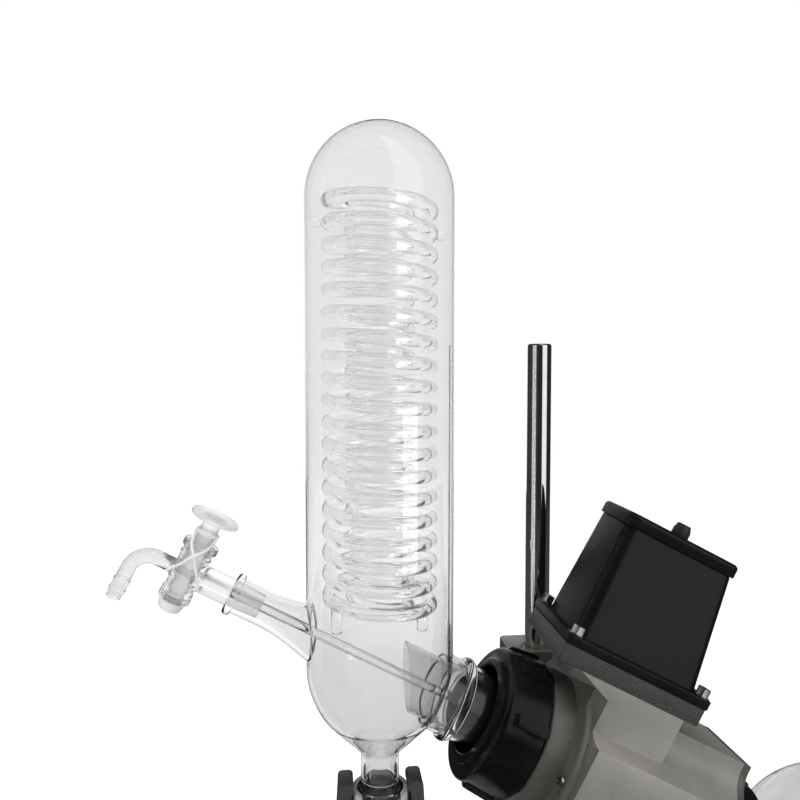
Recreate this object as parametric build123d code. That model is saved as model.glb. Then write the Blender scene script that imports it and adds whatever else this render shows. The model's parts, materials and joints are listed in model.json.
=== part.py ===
"""Rotary evaporator: a vertical glass condenser and a tilted drive head on a post, over a heated bath."""
import math
import os

from build123d import *

# Clearances, mm
RUN = 0.3                     # between pieces that turn or slide on each other
SEAT = 0.1                    # between pieces that are fitted together

# Layout
TILT = 27.7                   # drive axis below the horizontal, degrees
CROSS_HEIGHT = 470.0          # bench to the crossing of drive axis and condenser axis
CONDENSER_X = -202.0          # condenser axis from the middle of the machine

# Condenser glass
BODY_R = 65.0
BODY_WALL = 4.0
BODY_LOW = -3.0               # ends of the straight wall, from the crossing
BODY_HIGH = 409.0
BULB_ANGLE = 44.0             # arc of the bulb before it runs straight to the neck, degrees
NECK_R = 17.0
NECK_WALL = 3.5
NECK_LOW = -104.0
BALL_R = 17.5
BALL_LENGTH = 15.0
BULB_FILLET = 9.0

# Feed socket, a 24/29 ground joint on the left of the condenser
SOCKET_R = 15.5
SOCKET_COLLAR_R = 18.5
SOCKET_COLLAR_WIDTH = 7.0
SOCKET_MOUTH_T = -147.0
SOCKET_FLARE_R = 27.0
SOCKET_FLARE_T = -100.0
JOINT_MOUTH_R = 12.0
JOINT_LENGTH = 29.0
JOINT_TAPER = 0.05            # change of radius per length, the standard 1:10 cone
FLARE_WALL = 4.0

# Drive port on the right of the condenser
PORT_R = 33.5
PORT_WALL = 2.5
PORT_RING_T = 72.0
PORT_RING_R = 37.5
PORT_RING_WIDTH = 8.0
PORT_LENGTH = 122.0           # condenser axis to the front of the port's flange
PORT_FLANGE_R = 43.0
PORT_FLANGE_THICK = 8.0
STUB_R = 27.5
STUB_WALL = 2.5
STUB_X = 24.0                 # upright cut across the stub's inner end

# Coils, one tube that climbs outside and comes down inside
COIL_R = 45.2
COIL_TUBE_R = 6.0
COIL_PITCH = 19.0
COIL_HALF_TURNS = 37
COIL_LOW = 55.0
INNER_COIL_R = 26.0
INNER_TUBE_R = 5.0
INNER_HALF_TURNS = 29
INNER_PITCH = 24.4
TUBE_SIDES = 8
NIPPLE_REACH = 96.0           # hose nipples end this far behind the condenser axis
NIPPLE_BARB = 1.5
PEG_R = 4.0
STUD_R = 5.0
STUD_X = 38.0
STUD_LOW = 28.0

# Stopcock on the feed socket
COCK_T = -188.0
COCK_LOW = -26.0
COCK_HIGH = 28.0
COCK_R = 13.0
COCK_RIM_R = 15.5
COCK_RIM = 6.0
PLUG_LOW_R = 7.5
PLUG_HIGH_R = 9.8
PLUG_NECK_R = 8.0
HANDLE_R = 21.5
HANDLE_H = 52.0
HANDLE_THICK = 8.0
HANDLE_EDGE = 1.6
TAIL_R = 5.0
RETAINER_R = 12.0
RETAINER_THICK = 9.0
INLET_R = 6.5
INLET_WALL = 1.5
INLET_RUN = 28.0              # barrel axis to the start of the bend
INLET_BEND_R = 18.0
INLET_DROP = 28.0
INLET_BARB = 1.0
COCK_TUBE_R = 12.0
FEED_R = 4.0
FEED_WALL = 1.5
FEED_END_T = 430.0
TIE_R = 1.0
TIE_LOOP = 10.0               # loop above the barrel
TIE_HOOK = 3.0                # strand ends beside the barrel

# Coupling nut, seal and split ring
SEAL_THICK = 6.0
SPLIT_RING_THICK = 8.0
NUT_LIP_LENGTH = 16.0
NUT_LENGTH = 42.0
NUT_MOUTH_R = 39.5
NUT_LIP_R = 48.0
NUT_RIM_R = 60.0
NUT_BACK_R = 63.0
NUT_STEP = 4.0
NUT_RIBS = 8
NUT_RIB_WIDTH = 10.0
NUT_RIB_HEIGHT = 3.5
NUT_RIB_ANGLE = 21.0

# Front casting
SPIGOT_R = 50.0
SPIGOT_WALL = 4.5
SPIGOT_DEPTH = 20.0
NUT_GAP = 2.5
BOSS_R = 62.0
BOSS_LENGTH = 22.0
FLANGE_R = 77.0
FLANGE_THICK = 5.5
PLATE_THICK = 10.0
WEB_THICK = 10.0
FLANGE_SCREWS = 4
SCREW_CIRCLE_R = 69.5
SCREW_HEAD_R = 4.5
SCREW_HEAD = 4.0
SCREW_SOCKET_R = 2.7

# Drive housing
HOUSING_HALF = 70.0           # half the width across the flats
HOUSING_RIDGE = 36.0          # half the width of each flat
HOUSING_SCOOP = 12.0          # depth of the hollow at each corner
HOUSING_LENGTH = 150.0
CAVITY_R = 58.0
REAR_WEB = 12.0
REAR_PLATE_THICK = 8.0
PEDESTAL_H = 83.5
PEDESTAL_HALF = 48.0
PEDESTAL_FRONT_T = 138.0
PEDESTAL_BACK_T = 250.0
PEDESTAL_SEAM_T = 146.0       # joint of front casting and housing at the pedestal's top

# Spindle, bearings and gears
SPINDLE_R = 27.5
SPINDLE_BORE_R = 20.0
BEARING_R = 40.0
BEARING_RACE = 5.0
BEARING_WIDTH = 18.0
COLLAR_R = 36.0
COLLAR_LENGTH = 16.0
COLLAR_GAP = 4.0
GEAR_MODULE = 2.0
WHEEL_TEETH = 48
PINION_TEETH = 16
TOOTH_FACE = 11.0
TOOTH_WIDTH = 2.3
TOOTH_ADDENDUM = 1.7
TOOTH_DEDENDUM = 2.4
WHEEL_THICK = 10.0
VAPOUR_R = 16.5
VAPOUR_WALL = 3.0
VAPOUR_FRONT_T = 107.0
VAPOUR_TAIL = 40.0
VAPOUR_FLANGE = 4.0

# Motor and its cover
MOTOR_T = 196.0
MOTOR_R = 26.0
MOTOR_LENGTH = 84.0
MOTOR_END = 10.0
SHAFT_R = 5.0
COVER_FRONT_T = 122.0
COVER_LENGTH = 144.0
COVER_HALF = 50.0
SPACER_THICK = 16.0
SPACER_INSET = 1.0
COVER_FLANGE = 8.5
COVER_INSET = 10.0            # flange edge to the foot of the cover's wall
COVER_TAPER = 7.0             # the front wall stays square, the others lean in
COVER_HEIGHT = 104.0
COVER_WALL = 3.0
COVER_CORNER = 10.0
LID_THICK = 12.0
LID_OVERHANG = 2.0
BOLT_INSET = 8.0
BOLT_HEAD_R = 6.0
BOLT_HEAD = 8.0
GLAND_R = 8.0
GLAND_LENGTH = 12.0

# Post and its clamp
POST_R = 12.5
POST_X = 174.0                # from the condenser axis
POST_Y = 100.0
POST_TOP = 758.0
POST_CHAMFER = 1.5
CLAMP_HALF = 34.0
CLAMP_TOP = -29.0             # from the crossing
CLAMP_HEIGHT = 121.0
CLAMP_CHAMFER = 4.0
CLAMP_FRONT_Y = 79.0
CLAMP_BACK = 28.0
CLAMP_SLOT = 3.0
CLAMP_SCREW_R = 4.0
PAD_HALF = 30.0
PAD_FRONT_T = 186.0
PAD_BACK_T = 240.0
KNOB_R = 18.0
KNOB_THICK = 16.0
KNOB_LOBES = 5
KNOB_LOBE_R = 5.0
KNOB_EDGE = 3.0

# Flask nut and evaporating flask
FLASK_R = 110.0
FLASK_WALL = 3.0
FLASK_T = 520.0
FLASK_NECK_R = 26.0
FLASK_LIP_R = 34.0
FLASK_LIP = 8.0
FLASK_NUT_R = 44.0
FLASK_NUT_LIP = 8.0
FLASK_NUT_RIBS = 8
FLASK_NUT_RIB_WIDTH = 8.0
FLASK_NUT_RIB_HEIGHT = 3.0

# Receiver: ball joint, clamp and flask
CUP_WALL = 3.0
CUP_SHELL_WALL = 4.5
CUP_RIM = -112.0              # from the crossing
CUP_FRONT_RIM = -118.0
CUP_SHELL_LOW = -140.0
EAR_INSIDE = 26.5
EAR_THICK = 11.0
EAR_HOOK = 2.5                # reach of the ear's top over the shell's rim
EAR_DEPTH = 26.0
EAR_TOP = -103.0
EAR_ROUND = 4.0
EAR_PIN_R = 3.0
RECEIVER_R = 92.0
RECEIVER_WALL = 3.0
RECEIVER_NECK_R = 14.0
RECEIVER_NECK = 24.0

# Base, feet and bath
FOOT_HEIGHT = 14.0
FOOT_R = 18.0
FOOT_INSET = 45.0
BASE_LEFT = -96.0
BASE_RIGHT = 438.0
BASE_HALF = 168.0
BASE_THICK = 28.0
BASE_CORNER = 40.0
BASE_EDGE = 6.0
BASE_WALL = 8.0
SOCKET_FLANGE_R = 40.0
SOCKET_FLANGE = 10.0
SOCKET_TUBE_R = 22.0
SOCKET_TUBE = 50.0
SOCKET_BOLTS = 4
BATH_HALF = 154.0
BATH_CORNER = 70.0
BATH_HEIGHT = 158.0
BATH_WALL = 3.0
BATH_EDGE = 6.0
POT_R = 140.0
POT_WALL = 2.0
POT_FLOOR = 90.0
POT_CORNER = 25.0
POT_RIM_R = 149.0
POT_RIM = 5.0
HEATER_R = 105.0
HEATER_THICK = 10.0
PANEL_WIDTH = 160.0
PANEL_HEIGHT = 92.0
PANEL_THICK = 4.0
PANEL_Z = 118.0
DIAL_X = 48.0
DIAL_R = 17.0
DIAL_LENGTH = 15.0
DIAL_SHAFT_R = 3.0
DIAL_MARK = 2.0
DIAL_MARK_LENGTH = 8.0
SWITCH_X = -54.0
SWITCH_WIDTH = 20.0
SWITCH_HEIGHT = 30.0
SWITCH_FRAME = 4.0
DISPLAY_WIDTH = 56.0
DISPLAY_HEIGHT = 26.0
DISPLAY_THICK = 2.5

tilt = math.radians(TILT)
DRIVE = Plane(
    origin=(CONDENSER_X, 0, CROSS_HEIGHT),
    x_dir=(math.sin(tilt), 0, math.cos(tilt)),
    z_dir=(math.cos(tilt), 0, -math.sin(tilt)),
)
UPRIGHT = Plane(origin=(CONDENSER_X, 0, CROSS_HEIGHT))


def turned(*outline):
    """Solid of revolution about Z from (radius, height) corners."""
    return revolve(Plane.XZ * make_face(Polyline(*outline, close=True)), Axis.Z)


def turned_round(outline, radii):
    """Solid of revolution about Z whose corners are rounded by the given radii."""
    return revolve(Plane.XZ * make_face(FilletPolyline(*outline, radius=radii, close=True)), Axis.Z)


def disc(radius, low, high):
    """Cylinder about Z between two heights."""
    return Pos(0, 0, (low + high) / 2) * Cylinder(radius, high - low)


def ring(inner, outer, low, high):
    """Plain ring about Z."""
    return turned((inner, low), (outer, low), (outer, high), (inner, high))


def vessel(radius, neck_r, neck_low):
    """Barrel about Z with a round dome, and a bulb below that narrows to a neck."""
    bulb = math.radians(BULB_ANGLE)
    dome = radius * math.sqrt(0.5)
    cone_r = radius * math.cos(bulb)
    cone_z = BODY_LOW - radius * math.sin(bulb)
    neck_top = cone_z - (cone_r - neck_r) / math.tan(bulb)
    arc_middle = (radius * math.cos(bulb / 2), BODY_LOW - radius * math.sin(bulb / 2))
    neck = FilletPolyline((neck_r, neck_low), (neck_r, neck_top), (cone_r, cone_z), radius=BULB_FILLET)
    outline = [
        Line((0, neck_low), (neck_r, neck_low)),
        *neck.edges(),
        ThreePointArc((cone_r, cone_z), arc_middle, (radius, BODY_LOW)),
        Line((radius, BODY_LOW), (radius, BODY_HIGH)),
        ThreePointArc((radius, BODY_HIGH), (dome, BODY_HIGH + dome), (0, BODY_HIGH + radius)),
        Line((0, BODY_HIGH + radius), (0, neck_low)),
    ]
    return revolve(Plane.XZ * make_face(outline), Axis.Z)


def around(count, shape, start=0.0):
    """Copies of a shape spaced evenly round Z."""
    return [Rot(0, 0, start + 360 / count * k) * shape for k in range(count)]


def group(shapes):
    """Separate solids that share one node."""
    return Compound([solid for shape in shapes for solid in shape.solids()])


def slab(x_low, x_high, y_low, y_high, z_low, z_high):
    """Box between two corners."""
    middle = Pos((x_low + x_high) / 2, (y_low + y_high) / 2, (z_low + z_high) / 2)
    return middle * Box(x_high - x_low, y_high - y_low, z_high - z_low)


def rounded_block(x_size, y_size, corner, low, high):
    """Upright block with rounded corners."""
    return Pos(0, 0, low) * extrude(RectangleRounded(x_size, y_size, corner), high - low)


def cap_screw(head_r, head, socket_r):
    """Socket screw head standing on Z = 0."""
    return disc(head_r, 0, head) - Pos(0, 0, head / 2) * extrude(RegularPolygon(socket_r, 6), head)


nodes = {}

# Condenser body: barrel, bulb, neck, ball, feed socket and drive port, blown as one piece
ball_low = NECK_LOW - BALL_LENGTH
ball_centre = NECK_LOW - BALL_LENGTH / 2
inner_r = BODY_R - BODY_WALL
barrel = vessel(BODY_R, NECK_R, NECK_LOW)
ball = Pos(0, 0, ball_centre) * Sphere(BALL_R) & disc(BALL_R, ball_low, NECK_LOW)
barrel_bore = vessel(inner_r, NECK_R - NECK_WALL, ball_low)

socket_wall = turned_round(
    [
        (0, SOCKET_MOUTH_T),
        (SOCKET_COLLAR_R, SOCKET_MOUTH_T),
        (SOCKET_COLLAR_R, SOCKET_MOUTH_T + SOCKET_COLLAR_WIDTH),
        (SOCKET_R, SOCKET_MOUTH_T + SOCKET_COLLAR_WIDTH),
        (SOCKET_R, SOCKET_FLARE_T),
        (SOCKET_FLARE_R, SOCKET_FLARE_T / 2),
        (0, SOCKET_FLARE_T / 2),
    ],
    [0, SOCKET_COLLAR_WIDTH / 3, SOCKET_COLLAR_WIDTH / 3, 0, SOCKET_R, 0, 0],
)
joint_end_t = SOCKET_MOUTH_T + JOINT_LENGTH
joint_end_r = JOINT_MOUTH_R - JOINT_LENGTH * JOINT_TAPER
socket_bore = turned(
    (0, SOCKET_MOUTH_T),
    (JOINT_MOUTH_R, SOCKET_MOUTH_T),
    (joint_end_r, joint_end_t),
    (SOCKET_R - FLARE_WALL, SOCKET_FLARE_T),
    (SOCKET_FLARE_R - FLARE_WALL, SOCKET_FLARE_T / 2),
    (0, SOCKET_FLARE_T / 2),
)

flange_back_t = PORT_LENGTH + PORT_FLANGE_THICK
ring_back_t = PORT_RING_T + PORT_RING_WIDTH
port_wall = turned_round(
    [
        (0, BODY_WALL),
        (PORT_R, BODY_WALL),
        (PORT_R, PORT_RING_T),
        (PORT_RING_R, PORT_RING_T),
        (PORT_RING_R, ring_back_t),
        (PORT_R, ring_back_t),
        (PORT_R, PORT_LENGTH),
        (PORT_FLANGE_R, PORT_LENGTH),
        (PORT_FLANGE_R, flange_back_t),
        (0, flange_back_t),
    ],
    [0, 0, 0, PORT_RING_WIDTH / 3, PORT_RING_WIDTH / 3, 0, 0, 2, 2, 0],
)
port_bore_r = PORT_R - PORT_WALL
port_bore = disc(port_bore_r, BODY_WALL, PORT_RING_T) + disc(port_bore_r, ring_back_t, flange_back_t)
stub_bore = disc(STUB_R - STUB_WALL, 0, flange_back_t)
stub = ring(STUB_R - STUB_WALL, STUB_R, 0, ring_back_t)
stub_cut = slab(-BODY_R, STUB_X, -BODY_R, BODY_R, -BODY_R, BODY_R)
stub_in_place = DRIVE * stub - UPRIGHT * stub_cut

coil_top = COIL_LOW + COIL_PITCH * COIL_HALF_TURNS / 2
inner_low = coil_top - INNER_PITCH * INNER_HALF_TURNS / 2


def coil_exit(x, z, tube_r, near, far):
    """Straight tube towards the back from (x, z)."""
    return Pos(x, (near + far) / 2, z) * Rot(90, 0, 0) * Cylinder(tube_r, far - near)


def wall_holes(tube_r):
    """Passages for both coil ends through the back of the barrel."""
    low_end = coil_exit(COIL_R, COIL_LOW, tube_r, 0, BODY_R)
    return low_end + coil_exit(INNER_COIL_R, inner_low, tube_r - COIL_TUBE_R + INNER_TUBE_R, 0, BODY_R)


condenser = UPRIGHT * (barrel + ball) + DRIVE * socket_wall + DRIVE * port_wall
condenser -= UPRIGHT * barrel_bore
condenser -= DRIVE * (socket_bore + port_bore + stub_bore)
condenser += stub_in_place
condenser -= UPRIGHT * wall_holes(COIL_TUBE_R + SEAT)
nodes["condenser_body"] = condenser


# Coils: each half turn is a tilted half ring, so that the tube falls evenly and stays smooth
def coil(radius, tube_r, pitch, half_turns, top):
    """Falling coil that starts at -X and runs through the front first."""
    climb = pitch / 2
    lean = math.degrees(math.atan2(climb / 2, radius))
    arc_r = math.hypot(radius, climb / 2)
    section = Plane.XZ * Pos(arc_r, 0) * Rot(0, 0, 180 / TUBE_SIDES) * RegularPolygon(tube_r, TUBE_SIDES)
    half_ring = revolve(section, Axis.Z, 180)
    turns = []
    for k in range(half_turns):
        front = k % 2 == 0
        place = Pos(0, 0, top - climb * (k + 0.5)) * Rot(0, lean if front else -lean, 0)
        turns.append(place * Rot(0, 0, 180 if front else 0) * half_ring)
    return turns[0].fuse(*turns[1:])


def flat_tube(x, z, tube_r, near, far):
    """Straight run of coil tube towards the back, with the coil's own section."""
    section = Plane.XZ * Pos(x, z) * Rot(0, 0, 180 / TUBE_SIDES) * RegularPolygon(tube_r, TUBE_SIDES)
    return Pos(0, far, 0) * extrude(section, far - near)


def nipple(x, z, tube_r):
    """Hose nipple with two barbs outside the barrel, on the end of a coil tube."""
    start = leave_wall(x, tube_r)
    barb = tube_r + NIPPLE_BARB
    length = NIPPLE_REACH - start
    profile = [(0, 0), (tube_r, 0), (tube_r, length / 3), (barb, length / 3), (tube_r, 2 * length / 3)]
    profile += [(barb, 2 * length / 3), (tube_r - NIPPLE_BARB, length), (0, length)]
    return Pos(x, start, z) * Rot(-90, 0, 0) * turned(*profile)


def leave_wall(x, tube_r):
    """Distance behind the axis at which a tube at x has left the barrel's wall."""
    return math.sqrt(BODY_R**2 - (x - tube_r) ** 2) + NIPPLE_BARB


inner_top_turn = (COIL_R - INNER_COIL_R) / 2
outer_coil = coil(COIL_R, COIL_TUBE_R, COIL_PITCH, COIL_HALF_TURNS, coil_top)
outer_coil += flat_tube(COIL_R, COIL_LOW, COIL_TUBE_R, 0, leave_wall(COIL_R, COIL_TUBE_R))
nodes["outer_coil"] = UPRIGHT * outer_coil

u_section = Plane.XZ * Pos(inner_top_turn, 0) * Rot(0, 0, 180 / TUBE_SIDES) * RegularPolygon(
    INNER_TUBE_R, TUBE_SIDES
)
u_bend = Pos(-(COIL_R + INNER_COIL_R) / 2, 0, coil_top) * revolve(u_section, Axis.Z, 180)
inner_coil = coil(INNER_COIL_R, INNER_TUBE_R, INNER_PITCH, INNER_HALF_TURNS, coil_top) + u_bend
inner_coil += flat_tube(INNER_COIL_R, inner_low, INNER_TUBE_R, 0, leave_wall(INNER_COIL_R, INNER_TUBE_R))
nodes["inner_coil"] = UPRIGHT * inner_coil
nipples = [nipple(COIL_R, COIL_LOW, COIL_TUBE_R), nipple(INNER_COIL_R, inner_low, INNER_TUBE_R)]
nodes["hose_nipples"] = UPRIGHT * group(nipples)

# Glass pegs that steady the coil against the wall, and studs that hang under its last turn
peg_z = coil_top - COIL_PITCH
supports = []
for side in (-1, 1):
    peg = Rot(0, 90 * side, 0) * disc(PEG_R, COIL_R + COIL_TUBE_R + SEAT, inner_r - SEAT * 5)
    supports.append(Pos(0, 0, peg_z - (COIL_PITCH / 2 if side > 0 else 0)) * peg)
    stud_top = COIL_LOW - COIL_TUBE_R - SEAT + (COIL_PITCH / 2 if side < 0 else 0)
    stud = turned_round(
        [(0, STUD_LOW), (STUD_R, STUD_LOW), (STUD_R, stud_top), (0, stud_top)], [0, STUD_R / 2, 0, 0]
    )
    supports.append(Pos(side * STUD_X, 0, 0) * stud)
nodes["coil_supports"] = UPRIGHT * group(supports)

# Stopcock: barrel, joint tube and bent inlet
COCK = Plane(origin=DRIVE.from_local_coords(Vector(0, 0, COCK_T)), x_dir=DRIVE.z_dir, z_dir=DRIVE.x_dir)
low_rim_r = (COCK_R + COCK_RIM_R) / 2
cock_round = (low_rim_r - COCK_R) * 0.9
cock_barrel = turned_round(
    [
        (0, COCK_LOW),
        (low_rim_r, COCK_LOW),
        (low_rim_r, COCK_LOW + COCK_RIM),
        (COCK_R, COCK_LOW + COCK_RIM),
        (COCK_R, COCK_HIGH - COCK_RIM),
        (COCK_RIM_R, COCK_HIGH - COCK_RIM),
        (COCK_RIM_R, COCK_HIGH),
        (0, COCK_HIGH),
    ],
    [0, cock_round, cock_round, 0, 0, cock_round, cock_round, 0],
)
plug_bore = turned(
    (0, COCK_LOW), (PLUG_LOW_R + RUN, COCK_LOW), (PLUG_HIGH_R + RUN, COCK_HIGH), (0, COCK_HIGH)
)
joint_start = SOCKET_MOUTH_T - COCK_T
joint_tube = turned(
    (0, 0),
    (COCK_TUBE_R, 0),
    (COCK_TUBE_R - SEAT, joint_start),
    (joint_end_r - SEAT, joint_start + JOINT_LENGTH),
    (0, joint_start + JOINT_LENGTH),
)
joint_bore = disc(FEED_R + SEAT, 0, joint_start + JOINT_LENGTH)
inlet_tip = -INLET_BEND_R - INLET_DROP
inlet_x = -INLET_RUN - INLET_BEND_R


def inlet(tube_r):
    """Run, bend and drop of the inlet tube."""
    run = Rot(0, -90, 0) * disc(tube_r, 0, INLET_RUN)
    quarter = revolve(Plane.XZ * Pos(INLET_BEND_R, 0) * Circle(tube_r), Axis.Z, 90)
    elbow = Pos(-INLET_RUN, 0, -INLET_BEND_R) * Rot(90, 0, 0) * Rot(0, 0, 90) * quarter
    drop = Pos(inlet_x, 0, 0) * disc(tube_r, inlet_tip, -INLET_BEND_R)
    return run + elbow + drop


barb_length = INLET_DROP * 0.6
barb = Pos(inlet_x, 0, inlet_tip) * turned(
    (0, 0),
    (INLET_R - INLET_BARB / 2, 0),
    (INLET_R + INLET_BARB, barb_length / 2),
    (INLET_R, barb_length / 2),
    (INLET_R + INLET_BARB, barb_length),
    (0, barb_length),
)
cock = cock_barrel + Rot(0, 90, 0) * joint_tube + inlet(INLET_R) + barb
cock -= plug_bore + inlet(INLET_R - INLET_WALL) + Rot(0, 90, 0) * joint_bore
nodes["stopcock_body"] = COCK * cock

plug = turned_round(
    [
        (0, COCK_LOW - RETAINER_THICK - 2),
        (TAIL_R, COCK_LOW - RETAINER_THICK - 2),
        (TAIL_R, COCK_LOW),
        (PLUG_LOW_R, COCK_LOW),
        (PLUG_HIGH_R, COCK_HIGH),
        (PLUG_NECK_R, COCK_HIGH + 4),
        (PLUG_NECK_R, HANDLE_H - HANDLE_THICK / 2),
        (HANDLE_R, HANDLE_H - HANDLE_EDGE),
        (HANDLE_R, HANDLE_H + HANDLE_EDGE),
        (0, HANDLE_H + HANDLE_THICK / 2),
    ],
    [0, 1, 0, 0, 0, 0, 2, 1, 1, 0],
)
bore_length = 2 * COCK_R
plug -= Rot(0, 90, 0) * disc(FEED_R - FEED_WALL, -bore_length, bore_length)
nodes["stopcock_plug"] = COCK * plug
retainer_top = COCK_LOW - RUN
nodes["stopcock_retainer"] = COCK * turned_round(
    [
        (TAIL_R + SEAT, retainer_top - RETAINER_THICK),
        (RETAINER_R - 2, retainer_top - RETAINER_THICK),
        (RETAINER_R, retainer_top),
        (TAIL_R + SEAT, retainer_top),
    ],
    [0, 2, 1, 0],
)
feed_start = COCK_T + joint_start
nodes["feed_tube"] = DRIVE * ring(FEED_R - FEED_WALL, FEED_R, feed_start, FEED_END_T)

# Elastic tie: a loop round the plug's neck and a crossed strand on each side of the barrel
tie_loop_h = COCK_HIGH + TIE_LOOP
tie_loop_r = PLUG_NECK_R + TIE_R + RUN
tie_clear = COCK_RIM_R + TIE_R + RUN
tie_parts = [Pos(0, 0, tie_loop_h) * Torus(tie_loop_r, TIE_R)]
for side in (-1, 1):
    shoulder = (0, side * tie_loop_r, tie_loop_h)
    for end_x, end_r in ((-COCK_R - TIE_HOOK, INLET_R), (COCK_R + TIE_HOOK, COCK_TUBE_R)):
        rim = (0, side * tie_clear, COCK_HIGH + TIE_R)
        corner = (0, side * tie_clear, COCK_HIGH - COCK_RIM)
        hook = (end_x, side * (end_r + TIE_R + RUN), -end_r / 2)
        for start, stop in ((shoulder, rim), (rim, corner), (corner, hook)):
            strand = Plane(origin=start, z_dir=Vector(*stop) - Vector(*start))
            reach = (Vector(*stop) - Vector(*start)).length
            tie_parts.append(strand * disc(TIE_R, 0, reach) + Pos(*stop) * Sphere(TIE_R))
nodes["stopcock_tie"] = COCK * tie_parts[0].fuse(*tie_parts[1:])

# Seal, split ring and coupling nut, which hold the port's flange on the head
seat_t = flange_back_t + SEAL_THICK
split_front_t = PORT_LENGTH - SPLIT_RING_THICK
shoulder_t = split_front_t - RUN
nut_front_t = shoulder_t - NUT_LIP_LENGTH
nut_back_t = nut_front_t + NUT_LENGTH
spigot_bore_r = SPIGOT_R - SPIGOT_WALL
nodes["port_seal"] = DRIVE * turned(
    (VAPOUR_R + RUN, flange_back_t + SEAL_THICK / 3),
    (VAPOUR_R + SEAL_THICK, flange_back_t),
    (PORT_FLANGE_R, flange_back_t),
    (PORT_FLANGE_R, seat_t),
    (VAPOUR_R + SEAL_THICK, seat_t),
    (VAPOUR_R + RUN, flange_back_t + SEAL_THICK * 2 / 3),
)
split_ring = ring(PORT_R + SEAT, PORT_FLANGE_R, split_front_t, PORT_LENGTH)
split_gap = slab(-1, 1, 0, PORT_FLANGE_R, split_front_t, PORT_LENGTH)
nodes["split_ring"] = DRIVE * (split_ring - split_gap)

nut_body = turned_round(
    [
        (NUT_MOUTH_R, nut_front_t),
        (NUT_LIP_R, nut_front_t),
        (NUT_LIP_R, nut_front_t + NUT_STEP),
        (NUT_RIM_R, nut_front_t + NUT_STEP),
        (NUT_RIM_R, nut_front_t + 3 * NUT_STEP),
        (NUT_BACK_R, nut_back_t),
        (SPIGOT_R + RUN, nut_back_t),
        (SPIGOT_R + RUN, shoulder_t),
        (NUT_MOUTH_R, shoulder_t),
    ],
    [1, 2, 0, NUT_STEP, 0, 1, 1, 0, 0],
)
rib_front_t = nut_front_t + 3 * NUT_STEP
nut_rib = extrude(
    Plane.XZ
    * make_face(
        FilletPolyline(
            (SPIGOT_R + 2, rib_front_t),
            (NUT_RIM_R + NUT_RIB_HEIGHT, rib_front_t),
            (NUT_BACK_R + NUT_RIB_HEIGHT, nut_back_t),
            (SPIGOT_R + 2, nut_back_t),
            radius=[0, NUT_RIB_HEIGHT, 1, 0],
            close=True,
        )
    ),
    NUT_RIB_WIDTH / 2,
    both=True,
)
nodes["coupling_nut"] = DRIVE * nut_body.fuse(*around(NUT_RIBS, nut_rib, NUT_RIB_ANGLE))

# Front casting: threaded spigot, stepped round flange, scooped plate and the motor's front pedestal
boss_front_t = nut_back_t + NUT_GAP
flange_front_t = boss_front_t + BOSS_LENGTH
plate_front_t = flange_front_t + FLANGE_THICK
housing_front_t = plate_front_t + PLATE_THICK
bearing_front_t = seat_t + WEB_THICK
housing_back_t = housing_front_t + HOUSING_LENGTH
web_bore_r = SPINDLE_R + 10 * RUN
motor_bore_r = GEAR_MODULE * (PINION_TEETH / 2 + 1) + 4
MOTOR = Plane(origin=DRIVE.from_local_coords(Vector(0, 0, MOTOR_T)), x_dir=DRIVE.z_dir, z_dir=DRIVE.x_dir)
motor_bore = Pos(0, 0, MOTOR_T) * Rot(0, 90, 0) * disc(motor_bore_r, 0, PEDESTAL_H)


def scooped_square(half, ridge, scoop):
    """Square section whose corners are hollowed by arcs."""
    middle = (half + ridge) / 2 - scoop / math.sqrt(2)
    edges = []
    for quarter in range(4):
        turn = Rot(0, 0, 90 * quarter)
        edges.append(turn * Line((half, -ridge), (half, ridge)))
        edges.append(turn * ThreePointArc((half, ridge), (middle, middle), (ridge, half)))
    return make_face(edges)


def scooped_prism(low, high):
    """Length of the head's section along the drive axis."""
    return Pos(0, 0, low) * extrude(scooped_square(HOUSING_HALF, HOUSING_RIDGE, HOUSING_SCOOP), high - low)


def pedestal(*outline):
    """Part of the motor's pedestal, from (height, place along the axis) corners."""
    return extrude(Plane.XZ * make_face(Polyline(*outline, close=True)), PEDESTAL_HALF, both=True)


casting = turned_round(
    [
        (0, seat_t - SPIGOT_DEPTH),
        (SPIGOT_R, seat_t - SPIGOT_DEPTH),
        (SPIGOT_R, boss_front_t),
        (BOSS_R, boss_front_t),
        (BOSS_R, flange_front_t),
        (FLANGE_R, flange_front_t),
        (FLANGE_R, plate_front_t),
        (0, plate_front_t),
    ],
    [0, 1, 0, 2, 0, 2, 1, 0],
)
casting += scooped_prism(plate_front_t, housing_front_t)
shelf_low = (FLANGE_R + SCREW_CIRCLE_R + SCREW_HEAD_R) / 2
seam_top = (PEDESTAL_H, PEDESTAL_SEAM_T)
seam_low = (HOUSING_HALF, housing_front_t)
casting += pedestal(
    (PEDESTAL_H, PEDESTAL_FRONT_T),
    seam_top,
    seam_low,
    (HOUSING_RIDGE, housing_front_t),
    (HOUSING_RIDGE, flange_front_t),
    (shelf_low, flange_front_t),
    (shelf_low, PEDESTAL_FRONT_T),
)
casting -= disc(spigot_bore_r, seat_t - SPIGOT_DEPTH, seat_t)
casting -= disc(web_bore_r, seat_t, bearing_front_t)
casting -= disc(BEARING_R + SEAT, bearing_front_t, housing_front_t)
nodes["front_casting"] = DRIVE * (casting - motor_bore)

screw = cap_screw(SCREW_HEAD_R, SCREW_HEAD, SCREW_SOCKET_R)
flange_screw = Pos(SCREW_CIRCLE_R, 0, flange_front_t) * Rot(180, 0, 0) * screw
nodes["flange_screws"] = DRIVE * group(around(FLANGE_SCREWS, flange_screw))

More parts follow.
